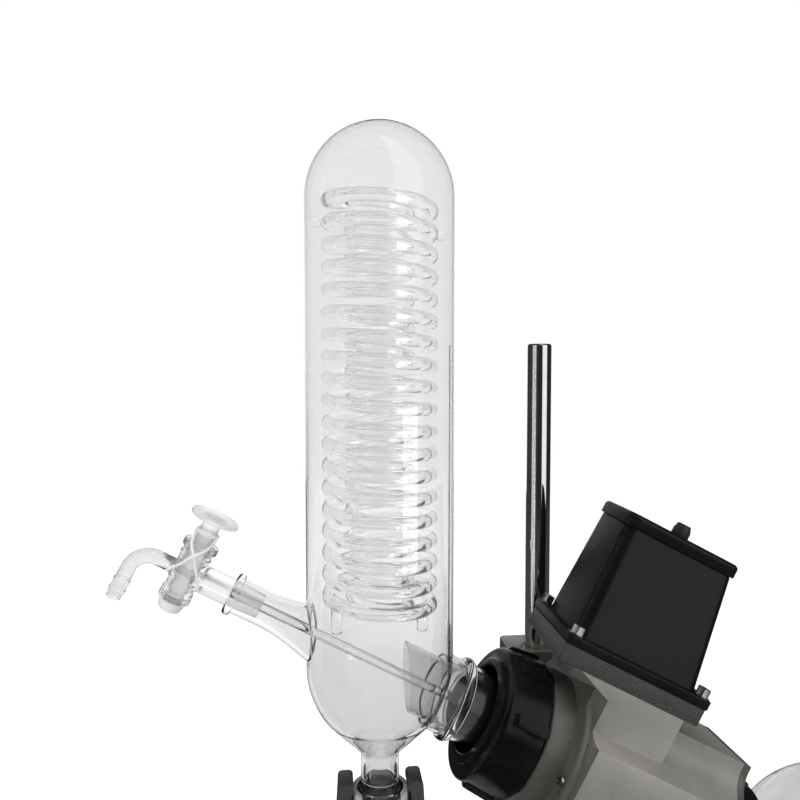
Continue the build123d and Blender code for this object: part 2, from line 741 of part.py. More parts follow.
# Drive housing with its gear space, motor opening and rear bearing seat
rear_bearing_t = housing_back_t - BEARING_WIDTH
housing = scooped_prism(housing_front_t, housing_back_t)
housing += pedestal(
    seam_top,
    (PEDESTAL_H, PEDESTAL_BACK_T),
    (HOUSING_RIDGE, PEDESTAL_BACK_T),
    (HOUSING_RIDGE, housing_front_t),
    seam_low,
)
housing -= disc(FLANGE_R + SEAT, flange_front_t, plate_front_t)
housing -= disc(CAVITY_R, housing_front_t, rear_bearing_t - REAR_WEB)
housing -= disc(web_bore_r, rear_bearing_t - REAR_WEB, rear_bearing_t)
housing -= disc(BEARING_R + SEAT, rear_bearing_t, housing_back_t)
nodes["drive_housing"] = DRIVE * (housing - motor_bore)

rear_plate_t = housing_back_t + REAR_PLATE_THICK
rear_plate = scooped_prism(housing_back_t, rear_plate_t) - disc(web_bore_r, housing_back_t, rear_plate_t)
nodes["rear_plate"] = DRIVE * rear_plate
rear_screw = Pos(HOUSING_HALF - 2 * SCREW_HEAD_R, 0, rear_plate_t) * screw
nodes["rear_plate_screws"] = DRIVE * group(around(4, rear_screw))

# Sealed bearings: fixed outer rings with shields, and inner rings on the spindle
inner_race_r = SPINDLE_R + BEARING_RACE
bearing_places = (bearing_front_t, rear_bearing_t)
shield = BEARING_WIDTH / 6
outer_ring = turned(
    (inner_race_r + RUN, 0),
    (BEARING_R, 0),
    (BEARING_R, BEARING_WIDTH),
    (inner_race_r + RUN, BEARING_WIDTH),
    (inner_race_r + RUN, BEARING_WIDTH - shield),
    (BEARING_R - BEARING_RACE, BEARING_WIDTH - shield),
    (BEARING_R - BEARING_RACE, shield),
    (inner_race_r + RUN, shield),
)
inner_ring = ring(SPINDLE_R + SEAT, inner_race_r, 0, BEARING_WIDTH)
nodes["bearing_outer_rings"] = DRIVE * group([Pos(0, 0, t) * outer_ring for t in bearing_places])
nodes["bearing_inner_rings"] = DRIVE * group([Pos(0, 0, t) * inner_ring for t in bearing_places])

# Hollow spindle with a threaded collar for the flask nut
collar_t = rear_plate_t + COLLAR_GAP
spindle_end_t = collar_t + COLLAR_LENGTH
spindle = turned_round(
    [
        (SPINDLE_BORE_R, seat_t + WEB_THICK / 2),
        (SPINDLE_R, seat_t + WEB_THICK / 2),
        (SPINDLE_R, collar_t),
        (COLLAR_R, collar_t),
        (COLLAR_R, spindle_end_t),
        (SPINDLE_BORE_R, spindle_end_t),
    ],
    [0, 1, 0, 1, 1, 0],
)
nodes["spindle"] = DRIVE * spindle

# Crown wheel on the spindle and pinion on the motor shaft
pinion_pitch_r = GEAR_MODULE * PINION_TEETH / 2
wheel_pitch_r = GEAR_MODULE * WHEEL_TEETH / 2
pitch_t = MOTOR_T + pinion_pitch_r
wheel_root_t = pitch_t + TOOTH_DEDENDUM
wheel_low_r = wheel_pitch_r - TOOTH_FACE / 2
wheel_high_r = wheel_pitch_r + TOOTH_FACE / 2
slope_in = TOOTH_WIDTH / 4


def tooth(pitch_line, length):
    """One tooth about its pitch line, drawn upwards and sunk into its rim."""
    half = TOOTH_WIDTH / 2
    root = pitch_line - TOOTH_DEDENDUM
    tip = pitch_line + TOOTH_ADDENDUM
    sunk = root - GEAR_MODULE / 2
    outline = Polyline(
        (-half - slope_in, sunk),
        (half + slope_in, sunk),
        (half + slope_in, root),
        (half - slope_in, tip),
        (slope_in - half, tip),
        (-half - slope_in, root),
        close=True,
    )
    return extrude(make_face(outline), length)


WHEEL_TOOTH = Plane(origin=(wheel_low_r, 0, pitch_t), x_dir=(0, 1, 0), z_dir=(1, 0, 0))
wheel_tooth = WHEEL_TOOTH * Rot(0, 0, 180) * tooth(0, TOOTH_FACE)
wheel_disc = ring(SPINDLE_R + SEAT, wheel_high_r, wheel_root_t, wheel_root_t + WHEEL_THICK)
wheel_teeth = around(WHEEL_TEETH, wheel_tooth, 180 / WHEEL_TEETH)
nodes["crown_wheel"] = DRIVE * wheel_disc.fuse(*wheel_teeth)

pinion_root_r = pinion_pitch_r - TOOTH_DEDENDUM
pinion_low = wheel_low_r - GEAR_MODULE / 4
pinion_length = TOOTH_FACE + GEAR_MODULE / 2
pinion_tooth = Rot(0, 0, -90) * tooth(pinion_pitch_r, pinion_length)
pinion_core = ring(SHAFT_R + SEAT, pinion_root_r, 0, pinion_length)
pinion = pinion_core.fuse(*around(PINION_TEETH, pinion_tooth))
nodes["pinion"] = MOTOR * Pos(0, 0, pinion_low) * pinion

# Motor: shaft, can, spacer, tapered cover and lid
spacer_top = PEDESTAL_H + SPACER_THICK
cover_middle = COVER_FRONT_T + COVER_LENGTH / 2 - MOTOR_T
motor_top = spacer_top + MOTOR_LENGTH
shaft_top = motor_top - MOTOR_END
nodes["motor_shaft"] = MOTOR * disc(SHAFT_R, pinion_low, shaft_top)
motor_can = turned_round(
    [
        (SHAFT_R + RUN, spacer_top),
        (MOTOR_R, spacer_top),
        (MOTOR_R, motor_top),
        (0, motor_top),
        (0, shaft_top + RUN),
        (SHAFT_R + RUN, shaft_top + RUN),
    ],
    [0, 1, 4, 0, 0, 0],
)
nodes["motor"] = MOTOR * motor_can


def cover_block(inset, corner, low, high):
    """Rounded block on the motor's mounting face, set in from the flange's edge."""
    block = rounded_block(COVER_LENGTH - 2 * inset, 2 * (COVER_HALF - inset), corner, low, high)
    return Pos(cover_middle, 0, 0) * block


spacer = cover_block(SPACER_INSET, COVER_CORNER / 2, PEDESTAL_H, spacer_top)
nodes["motor_spacer"] = MOTOR * (spacer - disc(motor_bore_r, PEDESTAL_H, spacer_top))
flange_top = spacer_top + COVER_FLANGE
cover_top = flange_top + COVER_HEIGHT


def cover_taper(inset, low, high):
    """Hood between two heights over the motor, square in front and tapered elsewhere."""
    foot = RectangleRounded(COVER_LENGTH - 2 * inset, 2 * (COVER_HALF - inset), COVER_CORNER)
    top_inset = inset + COVER_TAPER
    top = RectangleRounded(COVER_LENGTH - 2 * top_inset, 2 * (COVER_HALF - top_inset), COVER_CORNER)
    return Pos(cover_middle, 0, 0) * loft([Pos(0, 0, low) * foot, Pos(-COVER_TAPER, 0, high) * top])


cover = cover_block(0, COVER_CORNER / 2, spacer_top, flange_top)
cover += cover_taper(COVER_INSET, flange_top, cover_top)
cover -= cover_taper(COVER_INSET + COVER_WALL, spacer_top, cover_top)
nodes["motor_cover"] = MOTOR * cover
lid_inset = COVER_INSET + COVER_TAPER - LID_OVERHANG
lid_top = cover_top + LID_THICK
lid = Pos(-COVER_TAPER, 0, 0) * cover_block(lid_inset, COVER_CORNER, cover_top, lid_top)
lid = fillet(lid.edges().group_by(Axis.Z)[-1], LID_THICK / 3)
nodes["motor_lid"] = MOTOR * lid
cover_bolt = disc(BOLT_HEAD_R + 1, 0, 1) + extrude(RegularPolygon(BOLT_HEAD_R, 6), BOLT_HEAD)
bolt_places = GridLocations(COVER_LENGTH - 2 * BOLT_INSET, 2 * (COVER_HALF - BOLT_INSET), 2, 2)
cover_bolts = group([place * cover_bolt for place in bolt_places])
nodes["cover_bolts"] = MOTOR * Pos(cover_middle, 0, flange_top) * cover_bolts
gland = disc(GLAND_R, 0, GLAND_LENGTH)
gland = chamfer(gland.edges().group_by(Axis.Z)[-1], GLAND_LENGTH / 2, GLAND_R / 4)
gland -= disc(GLAND_R / 2, GLAND_LENGTH / 4, GLAND_LENGTH)
nodes["cable_gland"] = MOTOR * Pos(0, 0, lid_top) * gland

# Vapour tube, flask nut and evaporating flask, which turn with the spindle
vapour_flange_t = spindle_end_t + VAPOUR_FLANGE
lip_back_t = vapour_flange_t + FLASK_LIP
vapour = turned_round(
    [
        (VAPOUR_R - VAPOUR_WALL, VAPOUR_FRONT_T),
        (VAPOUR_R, VAPOUR_FRONT_T),
        (VAPOUR_R, spindle_end_t),
        (FLASK_LIP_R, spindle_end_t),
        (FLASK_LIP_R, vapour_flange_t),
        (VAPOUR_R, vapour_flange_t),
        (VAPOUR_R, vapour_flange_t + VAPOUR_TAIL),
        (VAPOUR_R - VAPOUR_WALL, vapour_flange_t + VAPOUR_TAIL),
    ],
    [0, 1, 0, 1, 1, 0, 1, 0],
)
nodes["vapour_tube"] = DRIVE * vapour
nut_lip_t = lip_back_t + SEAT
flask_nut_back_t = nut_lip_t + FLASK_NUT_LIP
flask_nut = turned_round(
    [
        (COLLAR_R + SEAT, collar_t + 1),
        (FLASK_NUT_R, collar_t + 1),
        (FLASK_NUT_R, flask_nut_back_t),
        (FLASK_NECK_R + SEAT * 5, flask_nut_back_t),
        (FLASK_NECK_R + SEAT * 5, nut_lip_t),
        (COLLAR_R + SEAT, nut_lip_t),
    ],
    [0, 2, 4, 1, 0, 0],
)
flask_nut_rib = slab(
    FLASK_NUT_R - FLASK_NUT_RIB_HEIGHT,
    FLASK_NUT_R + FLASK_NUT_RIB_HEIGHT,
    -FLASK_NUT_RIB_WIDTH / 2,
    FLASK_NUT_RIB_WIDTH / 2,
    collar_t + FLASK_NUT_LIP,
    flask_nut_back_t - FLASK_NUT_LIP,
)
nodes["flask_nut"] = DRIVE * flask_nut.fuse(*around(FLASK_NUT_RIBS, flask_nut_rib))


def bottle(radius, neck_r, centre, neck_end):
    """Round flask with its neck towards negative Z, from the neck's end to past the middle."""
    return Pos(0, 0, centre) * Sphere(radius) + disc(neck_r, neck_end, centre)


flask = bottle(FLASK_R, FLASK_NECK_R, FLASK_T, vapour_flange_t)
flask += ring(FLASK_NECK_R - FLASK_WALL, FLASK_LIP_R, vapour_flange_t, lip_back_t)
flask -= bottle(FLASK_R - FLASK_WALL, FLASK_NECK_R - FLASK_WALL, FLASK_T, vapour_flange_t)
nodes["evaporating_flask"] = DRIVE * flask

# Post, its socket on the base and the split clamp that carries the head
base_top = FOOT_HEIGHT + BASE_THICK
post_x = CONDENSER_X + POST_X
POST = Plane(origin=(post_x, POST_Y, 0))
post = disc(POST_R, base_top, POST_TOP)
nodes["post"] = POST * chamfer(post.edges().group_by(Axis.Z)[-1], POST_CHAMFER)
post_socket = turned_round(
    [
        (POST_R + SEAT, base_top),
        (SOCKET_FLANGE_R, base_top),
        (SOCKET_FLANGE_R, base_top + SOCKET_FLANGE),
        (SOCKET_TUBE_R, base_top + SOCKET_FLANGE),
        (SOCKET_TUBE_R, base_top + SOCKET_TUBE),
        (POST_R + SEAT, base_top + SOCKET_TUBE),
    ],
    [0, 0, 2, 4, 2, 0],
)
nodes["post_socket"] = POST * post_socket
socket_bolt_r = (SOCKET_FLANGE_R + SOCKET_TUBE_R) / 2 + 1
socket_bolt = Pos(socket_bolt_r, 0, base_top + SOCKET_FLANGE) * screw
nodes["socket_bolts"] = POST * group(around(SOCKET_BOLTS, socket_bolt, 180 / SOCKET_BOLTS))

clamp_high = CROSS_HEIGHT + CLAMP_TOP
clamp_low = clamp_high - CLAMP_HEIGHT
clamp_mid = (clamp_high + clamp_low) / 2
clamp_front = CLAMP_FRONT_Y - POST_Y
clamp_back_wall = (POST_R + CLAMP_BACK) / 2
block = slab(-CLAMP_HALF, CLAMP_HALF, clamp_front, CLAMP_BACK, clamp_low, clamp_high)
block = chamfer(block.edges().filter_by(Axis.Z), CLAMP_CHAMFER)
pad = slab(-PAD_HALF, PAD_HALF, -CLAMP_FRONT_Y - 1, -HOUSING_HALF, PAD_FRONT_T, PAD_BACK_T)
clamp = POST * block + DRIVE * pad
clamp -= POST * disc(POST_R + RUN, clamp_low, clamp_high)
clamp -= POST * slab(-CLAMP_SLOT / 2, CLAMP_SLOT / 2, POST_R, CLAMP_BACK, clamp_low, clamp_high)
CLAMP_SCREW = Plane(origin=(post_x, POST_Y + clamp_back_wall, clamp_mid), x_dir=(0, 1, 0), z_dir=(1, 0, 0))
clamp -= CLAMP_SCREW * disc(CLAMP_SCREW_R + RUN, -CLAMP_HALF, CLAMP_HALF)
nodes["clamp_block"] = clamp
knob_low = CLAMP_HALF + RUN
knob_top = knob_low + KNOB_THICK
knob_core_r = KNOB_R - KNOB_EDGE
knob = turned_round(
    [
        (0, knob_low),
        (KNOB_R / 2, knob_low),
        (knob_core_r, knob_low + KNOB_EDGE),
        (knob_core_r, knob_top),
        (0, knob_top),
    ],
    [0, 0, 0, KNOB_EDGE, 0],
)
lobe = Pos(KNOB_R - KNOB_LOBE_R, 0, 0) * disc(KNOB_LOBE_R, knob_low + KNOB_EDGE, knob_top - KNOB_EDGE)
knob = knob.fuse(*around(KNOB_LOBES, lobe)) + disc(CLAMP_SCREW_R, -CLAMP_HALF, knob_low)
nodes["clamp_knob"] = CLAMP_SCREW * knob

# Receiver: glass cup on the ball, clamp shell with its two ears, and the receiving flask
cup_r = BALL_R + RUN
cup_outer_r = cup_r + CUP_WALL
cup_low = ball_centre - cup_outer_r
cup = Pos(0, 0, ball_centre) * Sphere(cup_outer_r) & disc(cup_outer_r, cup_low, ball_centre)
neck_end = cup_low - RECEIVER_NECK
receiver_centre = neck_end - RECEIVER_R
bottle_solid = Pos(0, 0, receiver_centre) * Sphere(RECEIVER_R)
bottle_solid += disc(RECEIVER_NECK_R, receiver_centre, ball_centre - BALL_R / 2)
bottle_bore = Pos(0, 0, receiver_centre) * Sphere(RECEIVER_R - RECEIVER_WALL)
bottle_bore += disc(RECEIVER_NECK_R - RECEIVER_WALL, receiver_centre, ball_centre)
bottle_bore += Pos(0, 0, ball_centre) * Sphere(cup_r)
nodes["receiver_flask"] = UPRIGHT * (cup + bottle_solid - bottle_bore)

shell_r = cup_outer_r + SEAT
shell_outer_r = shell_r + CUP_SHELL_WALL
shell = turned_round(
    [
        (RECEIVER_NECK_R + SEAT, CUP_SHELL_LOW),
        (shell_outer_r, CUP_SHELL_LOW),
        (shell_outer_r, CUP_RIM),
        (0, CUP_RIM),
        (0, cup_low),
        (RECEIVER_NECK_R + SEAT, cup_low),
    ],
    [0, 4, 1.5, 0, 0, 0],
)
shell -= Pos(0, 0, ball_centre) * Sphere(shell_r) + disc(shell_r, ball_centre, ball_centre + shell_r)
shell -= disc(RECEIVER_NECK_R + SEAT, CUP_SHELL_LOW, ball_centre)
shell -= slab(-NECK_R, NECK_R, -shell_outer_r, -cup_r / 2, CUP_FRONT_RIM, CUP_RIM)
ear_pin_x = EAR_INSIDE + EAR_THICK / 2
ear_pin_z = CUP_SHELL_LOW + 2 * EAR_PIN_R
lug_top = ear_pin_z + 2 * EAR_PIN_R
fork_half = EAR_DEPTH / 2
for side in (-1, 1):
    for end in (-1, 1):
        y_in = end * (fork_half + RUN)
        y_out = end * (fork_half + 2 * EAR_PIN_R)
        y_low, y_high = sorted((y_in, y_out))
        lug = slab(0, ear_pin_x + 2 * EAR_PIN_R, y_low, y_high, CUP_SHELL_LOW, lug_top)
        lug -= disc(shell_outer_r - 1, CUP_SHELL_LOW, CUP_RIM)
        shell += Rot(0, 0, 0 if side > 0 else 180) * lug
nodes["receiver_clamp"] = UPRIGHT * shell


def ear():
    """One clamp ear, drawn on the right, with the hole for its pin."""
    outline = [
        (EAR_INSIDE + 1, CUP_SHELL_LOW + 1),
        (EAR_INSIDE + EAR_THICK + 2, CUP_SHELL_LOW + 1),
        (EAR_INSIDE + EAR_THICK, EAR_TOP),
        (EAR_INSIDE - EAR_HOOK, EAR_TOP),
        (EAR_INSIDE - EAR_HOOK, CUP_RIM + 2 * RUN),
        (EAR_INSIDE, CUP_RIM + 2 * RUN),
    ]
    rounds = [EAR_ROUND, 2, EAR_ROUND, EAR_ROUND, 1, 0]
    face = make_face(FilletPolyline(*outline, radius=rounds, close=True))
    solid = extrude(Plane.XZ * face, EAR_DEPTH / 2, both=True)
    return solid - pin(EAR_PIN_R + RUN, EAR_DEPTH)


def pin(radius, length):
    """Cross pin of the right ear."""
    return Pos(ear_pin_x, 0, ear_pin_z) * Rot(90, 0, 0) * Cylinder(radius, length)


nodes["clamp_ear_right"] = UPRIGHT * ear()
nodes["clamp_ear_left"] = UPRIGHT * Rot(0, 0, 180) * ear()
ear_pin = pin(EAR_PIN_R, EAR_DEPTH + 2 * RUN)
nodes["ear_pins"] = UPRIGHT * group([ear_pin, Rot(0, 0, 180) * ear_pin])

# Base casting and feet
base_x = (BASE_LEFT + BASE_RIGHT) / 2
base_length = BASE_RIGHT - BASE_LEFT
BASE = Plane(origin=(base_x, 0, 0))
base = rounded_block(base_length, 2 * BASE_HALF, BASE_CORNER, FOOT_HEIGHT, base_top)
base = fillet(base.edges().group_by(Axis.Z)[-1], BASE_EDGE)
recess_corner = BASE_CORNER - BASE_WALL
recess_length = base_length - 2 * BASE_WALL
recess_width = 2 * (BASE_HALF - BASE_WALL)
base -= rounded_block(recess_length, recess_width, recess_corner, FOOT_HEIGHT, base_top - BASE_WALL)
foot_places = GridLocations(base_length - 2 * FOOT_INSET, 2 * (BASE_HALF - FOOT_INSET), 2, 2)
for place in foot_places:
    base += place * disc(FOOT_R + 3, FOOT_HEIGHT, base_top - BASE_WALL)
nodes["base_plate"] = BASE * base
foot = turned_round(
    [(0, 0), (FOOT_R - 3, 0), (FOOT_R, FOOT_HEIGHT), (0, FOOT_HEIGHT)],
    [0, 2, 0, 0],
)
nodes["rubber_feet"] = BASE * group([place * foot for place in foot_places])

# Bath: outer casing, pressed pot, heater plate and control panel
bath_x = CONDENSER_X + FLASK_T * math.cos(tilt)
bath_top = base_top + BATH_HEIGHT
BATH = Plane(origin=(bath_x, 0, 0))
casing = rounded_block(2 * BATH_HALF, 2 * BATH_HALF, BATH_CORNER, base_top, bath_top)
casing = fillet(casing.edges().group_by(Axis.Z)[-1], BATH_EDGE)
casing_inside = 2 * (BATH_HALF - BATH_WALL)
casing_corner = BATH_CORNER - BATH_WALL
casing -= rounded_block(casing_inside, casing_inside, casing_corner, base_top, bath_top - BATH_WALL)
casing -= disc(POT_R + POT_WALL + SEAT, base_top, bath_top)
dial_hole = Pos(DIAL_X, 0, PANEL_Z) * Rot(90, 0, 0) * Cylinder(DIAL_SHAFT_R + RUN, 4 * BATH_HALF)
dial_hole &= slab(-BATH_HALF, BATH_HALF, -2 * BATH_HALF, 0, 0, bath_top)
nodes["bath_casing"] = BATH * (casing - dial_hole)
pot_low = POT_FLOOR - POT_WALL
pot = turned_round(
    [
        (0, pot_low),
        (POT_R + POT_WALL, pot_low),
        (POT_R + POT_WALL, bath_top),
        (POT_RIM_R, bath_top),
        (POT_RIM_R, bath_top + POT_RIM),
        (POT_R, bath_top + POT_RIM),
        (POT_R, POT_FLOOR),
        (0, POT_FLOOR),
    ],
    [0, POT_CORNER + POT_WALL, 0, 1, 2, 2, POT_CORNER, 0],
)
nodes["bath_pot"] = BATH * pot
nodes["heater_plate"] = BATH * disc(HEATER_R, pot_low - HEATER_THICK, pot_low)

PANEL = Plane(origin=(bath_x, -BATH_HALF, PANEL_Z), x_dir=(1, 0, 0), z_dir=(0, -1, 0))
window = Pos(SWITCH_X, 0, 0) * Box(SWITCH_WIDTH + 2 * RUN, SWITCH_HEIGHT + 2 * RUN, 4 * PANEL_THICK)
display_place = Pos((SWITCH_X + DIAL_X) / 2, 0, PANEL_THICK)
panel = extrude(RectangleRounded(PANEL_WIDTH, PANEL_HEIGHT, 6), PANEL_THICK)
frame_width = SWITCH_WIDTH + 2 * SWITCH_FRAME
frame_height = SWITCH_HEIGHT + 2 * SWITCH_FRAME
panel += Pos(SWITCH_X, 0, PANEL_THICK + 1) * Box(frame_width, frame_height, 2)
panel -= window & slab(-PANEL_WIDTH, PANEL_WIDTH, -PANEL_HEIGHT, PANEL_HEIGHT, 0, 4 * PANEL_THICK)
panel -= Pos(DIAL_X, 0, 0) * disc(DIAL_SHAFT_R + RUN, 0, PANEL_THICK)
nodes["bath_panel"] = PANEL * panel
rocker_half = SWITCH_HEIGHT / 2
rocker_top = PANEL_THICK + 4
rocker_face = make_face(
    [
        ThreePointArc((-rocker_half, rocker_top), (0, rocker_top - 2), (rocker_half, rocker_top)),
        Line((rocker_half, rocker_top), (rocker_half - 2, 3)),
        Line((rocker_half - 2, 3), (2 - rocker_half, 3)),
        Line((2 - rocker_half, 3), (-rocker_half, rocker_top)),
    ]
)
rocker = Pos(SWITCH_X, 0, 0) * extrude(Plane.YZ * rocker_face, SWITCH_WIDTH / 2, both=True)
nodes["power_switch"] = PANEL * rocker
display = display_place * extrude(RectangleRounded(DISPLAY_WIDTH, DISPLAY_HEIGHT, 2), DISPLAY_THICK)
nodes["bath_display"] = PANEL * display
dial_low = PANEL_THICK + RUN
dial = turned_round(
    [(0, dial_low), (DIAL_R, dial_low), (DIAL_R - 2, dial_low + DIAL_LENGTH), (0, dial_low + DIAL_LENGTH)],
    [0, 1, 2, 0],
)
dial += disc(DIAL_SHAFT_R, -BATH_WALL, dial_low)
mark_y = DIAL_R - DIAL_MARK - DIAL_MARK_LENGTH / 2
dial -= Pos(0, mark_y, dial_low + DIAL_LENGTH) * Box(DIAL_MARK, DIAL_MARK_LENGTH, DIAL_MARK)
nodes["temperature_dial"] = PANEL * Pos(DIAL_X, 0, 0) * dial

os.makedirs("parts", exist_ok=True)
for name, shape in nodes.items():
    shape.label = name
    export_step(shape, f"parts/{name}.step")
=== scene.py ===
import json
import math

import bmesh
import bpy
from mathutils import Matrix, Vector


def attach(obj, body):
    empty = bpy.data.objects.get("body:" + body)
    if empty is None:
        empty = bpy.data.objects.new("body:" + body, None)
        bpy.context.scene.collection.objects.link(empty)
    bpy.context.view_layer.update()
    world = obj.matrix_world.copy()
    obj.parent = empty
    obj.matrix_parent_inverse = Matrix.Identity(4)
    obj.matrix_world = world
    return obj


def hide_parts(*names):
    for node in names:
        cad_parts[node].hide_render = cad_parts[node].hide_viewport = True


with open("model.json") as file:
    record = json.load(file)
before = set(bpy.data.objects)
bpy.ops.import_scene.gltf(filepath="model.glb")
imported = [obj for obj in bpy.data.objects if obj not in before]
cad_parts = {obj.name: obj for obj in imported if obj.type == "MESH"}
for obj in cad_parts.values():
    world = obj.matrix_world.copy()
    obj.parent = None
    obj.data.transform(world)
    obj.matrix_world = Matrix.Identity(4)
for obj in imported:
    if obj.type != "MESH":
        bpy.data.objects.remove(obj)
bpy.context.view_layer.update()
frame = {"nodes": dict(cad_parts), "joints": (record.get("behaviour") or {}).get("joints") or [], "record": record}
nodes = frame["nodes"]
joints = {joint["name"]: joint for joint in frame["joints"]}
bodies = frame["record"]["behaviour"]["bodies"]
home = {name: body for body, names in bodies.items() for name in names}

# Base plate and feet: a hollow aluminium casting under the whole machine, powder coated in pale
# grey, on four black rubber feet pushed into bosses below its corners.
WELD = 1e-6
FLAT = math.radians(0.5)
SHARP = math.radians(30)
GRAIN_DEPTH = 0.0004
TONE_STOPS = (0.35, 0.65)
GLOSS_STOPS = (0.3, 0.7)
BEVEL_SEGMENTS = 2

surface_grain = bpy.data.node_groups.new("surface_grain", "ShaderNodeTree")
for socket in ("Fine scale", "Smudge scale"):
    surface_grain.interface.new_socket(socket, in_out="INPUT", socket_type="NodeSocketFloat")
for socket in ("Fine", "Smudge"):
    surface_grain.interface.new_socket(socket, in_out="OUTPUT", socket_type="NodeSocketFloat")
grain_in = surface_grain.nodes.new("NodeGroupInput")
grain_out = surface_grain.nodes.new("NodeGroupOutput")
grain_place = surface_grain.nodes.new("ShaderNodeTexCoord")
for scale, output, detail in (("Fine scale", "Fine", 2.0), ("Smudge scale", "Smudge", 5.0)):
    noise = surface_grain.nodes.new("ShaderNodeTexNoise")
    noise.inputs["Detail"].default_value = detail
    surface_grain.links.new(grain_place.outputs["Object"], noise.inputs["Vector"])
    surface_grain.links.new(grain_in.outputs[scale], noise.inputs["Scale"])
    surface_grain.links.new(noise.outputs["Fac"], grain_out.inputs[output])


def finish(name, tones, roughness, fine, smudge, relief, metallic=0.0, coat=0.0, specular=0.5):
    """Opaque finish: colour and gloss drift between two values each, over a fine grain in relief."""
    material = bpy.data.materials.new(name)
    material.use_nodes = True
    tree = material.node_tree
    shader = tree.nodes["Principled BSDF"]
    shader.inputs["Metallic"].default_value = metallic
    shader.inputs["Coat Weight"].default_value = coat
    shader.inputs["Specular IOR Level"].default_value = specular
    grain = tree.nodes.new("ShaderNodeGroup")
    grain.node_tree = surface_grain
    grain.inputs["Fine scale"].default_value = fine
    grain.inputs["Smudge scale"].default_value = smudge
    ramp = tree.nodes.new("ShaderNodeValToRGB")
    for stop, place, tone in zip(ramp.color_ramp.elements, TONE_STOPS, tones):
        stop.position = place
        stop.color = (*tone, 1)
    gloss = tree.nodes.new("ShaderNodeMapRange")
    gloss.inputs["From Min"].default_value = GLOSS_STOPS[0]
    gloss.inputs["From Max"].default_value = GLOSS_STOPS[1]
    gloss.inputs["To Min"].default_value = roughness[0]
    gloss.inputs["To Max"].default_value = roughness[1]
    bump = tree.nodes.new("ShaderNodeBump")
    bump.inputs["Strength"].default_value = relief
    bump.inputs["Distance"].default_value = GRAIN_DEPTH
    tree.links.new(grain.outputs["Smudge"], ramp.inputs["Fac"])
    tree.links.new(ramp.outputs["Color"], shader.inputs["Base Color"])
    tree.links.new(grain.outputs["Smudge"], gloss.inputs["Value"])
    tree.links.new(gloss.outputs["Result"], shader.inputs["Roughness"])
    tree.links.new(grain.outputs["Fine"], bump.inputs["Height"])
    tree.links.new(bump.outputs["Normal"], shader.inputs["Normal"])
    return material


def softened(node, width):
    """Copy of a node's mesh with doubles merged, flats made whole and sharp edges rounded."""
    bm = bmesh.new()
    bm.from_mesh(nodes[node].data)
    bmesh.ops.remove_doubles(bm, verts=bm.verts, dist=WELD)
    bmesh.ops.dissolve_limit(bm, angle_limit=FLAT, verts=bm.verts, edges=bm.edges)
    sharp = [edge for edge in bm.edges if edge.is_manifold and edge.calc_face_angle() > SHARP]
    bmesh.ops.bevel(
        bm, geom=sharp, offset=width, offset_type="OFFSET", affect="EDGES",
        segments=BEVEL_SEGMENTS, profile=0.5, material=-1, clamp_overlap=True,
    )
    return bm


def fitted(name, bm, slot, material, *stands_for, body="head"):
    """Makes the bmesh an object that stands for the named nodes, if any, and moves with their body."""
    mesh = bpy.data.meshes.new(name)
    bm.to_mesh(mesh)
    bm.free()
    mesh.shade_smooth()
    mesh.set_sharp_from_angle(angle=SHARP)
    mesh.materials.append(material)
    piece = bpy.data.objects.new(name, mesh)
    bpy.context.scene.collection.objects.link(piece)
    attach(piece, home[stands_for[0]] if stands_for else body)
    if stands_for:
        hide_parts(*stands_for)


powder_coat = finish(
    "pale_grey_powder_coat", ((0.50, 0.50, 0.49), (0.56, 0.56, 0.55)), (0.38, 0.5), 1600, 20, 0.25
)
foot_rubber = finish(
    "black_foot_rubber", ((0.012, 0.012, 0.012), (0.022, 0.022, 0.022)), (0.6, 0.75), 900, 60, 0.3
)
fitted("base_casting", softened("base_plate", 0.001), "base_paint", powder_coat, "base_plate")
fitted("feet", softened("rubber_feet", 0.001), "rubber", foot_rubber, "rubber_feet")

# Post: a ground and polished steel bar of 25 mm, held in a flanged socket that four cap screws
# fasten to the base.
polished_steel = finish(
    "polished_steel", ((0.80, 0.785, 0.77), (0.88, 0.865, 0.85)), (0.05, 0.11), 2200, 35, 0.02,
    metallic=1.0,
)
screw_steel = finish(
    "screw_steel", ((0.42, 0.41, 0.39), (0.60, 0.58, 0.55)), (0.16, 0.30), 1800, 160, 0.08,
    metallic=1.0,
)
cast_socket = finish(
    "grey_cast_socket", ((0.085, 0.082, 0.074), (0.105, 0.101, 0.092)), (0.34, 0.48), 1500, 40, 0.3
)
fitted("polished_post", softened("post", 0.0003), "steel", polished_steel, "post")
fitted("post_foot", softened("post_socket", 0.0008), "dark_casting", cast_socket, "post_socket")
fitted("post_foot_bolts", softened("socket_bolts", 0.0003), "steel", screw_steel, "socket_bolts")

# Bath: a round-cornered painted casing with a pressed stainless pot hung in it over a heater
# plate, and a black front panel with a rocker switch, a display window and a dial.
pot_steel = finish(
    "pressed_stainless", ((0.46, 0.455, 0.45), (0.58, 0.575, 0.57)), (0.2, 0.34), 2600, 18, 0.05,
    metallic=1.0,
)
panel_black = finish(
    "panel_black", ((0.014, 0.014, 0.015), (0.022, 0.022, 0.023)), (0.36, 0.46), 2400, 40, 0.12
)
window_dark = finish(
    "display_window", ((0.010, 0.014, 0.013), (0.016, 0.021, 0.019)), (0.06, 0.1), 1200, 30, 0.0,
    coat=0.6,
)
switch_red = finish(
    "switch_plastic", ((0.16, 0.012, 0.010), (0.20, 0.016, 0.013)), (0.26, 0.34), 1500, 60, 0.06
)
heater_iron = finish(
    "heater_plate_iron", ((0.09, 0.085, 0.08), (0.13, 0.12, 0.11)), (0.45, 0.6), 900, 50, 0.2,
    metallic=1.0,
)


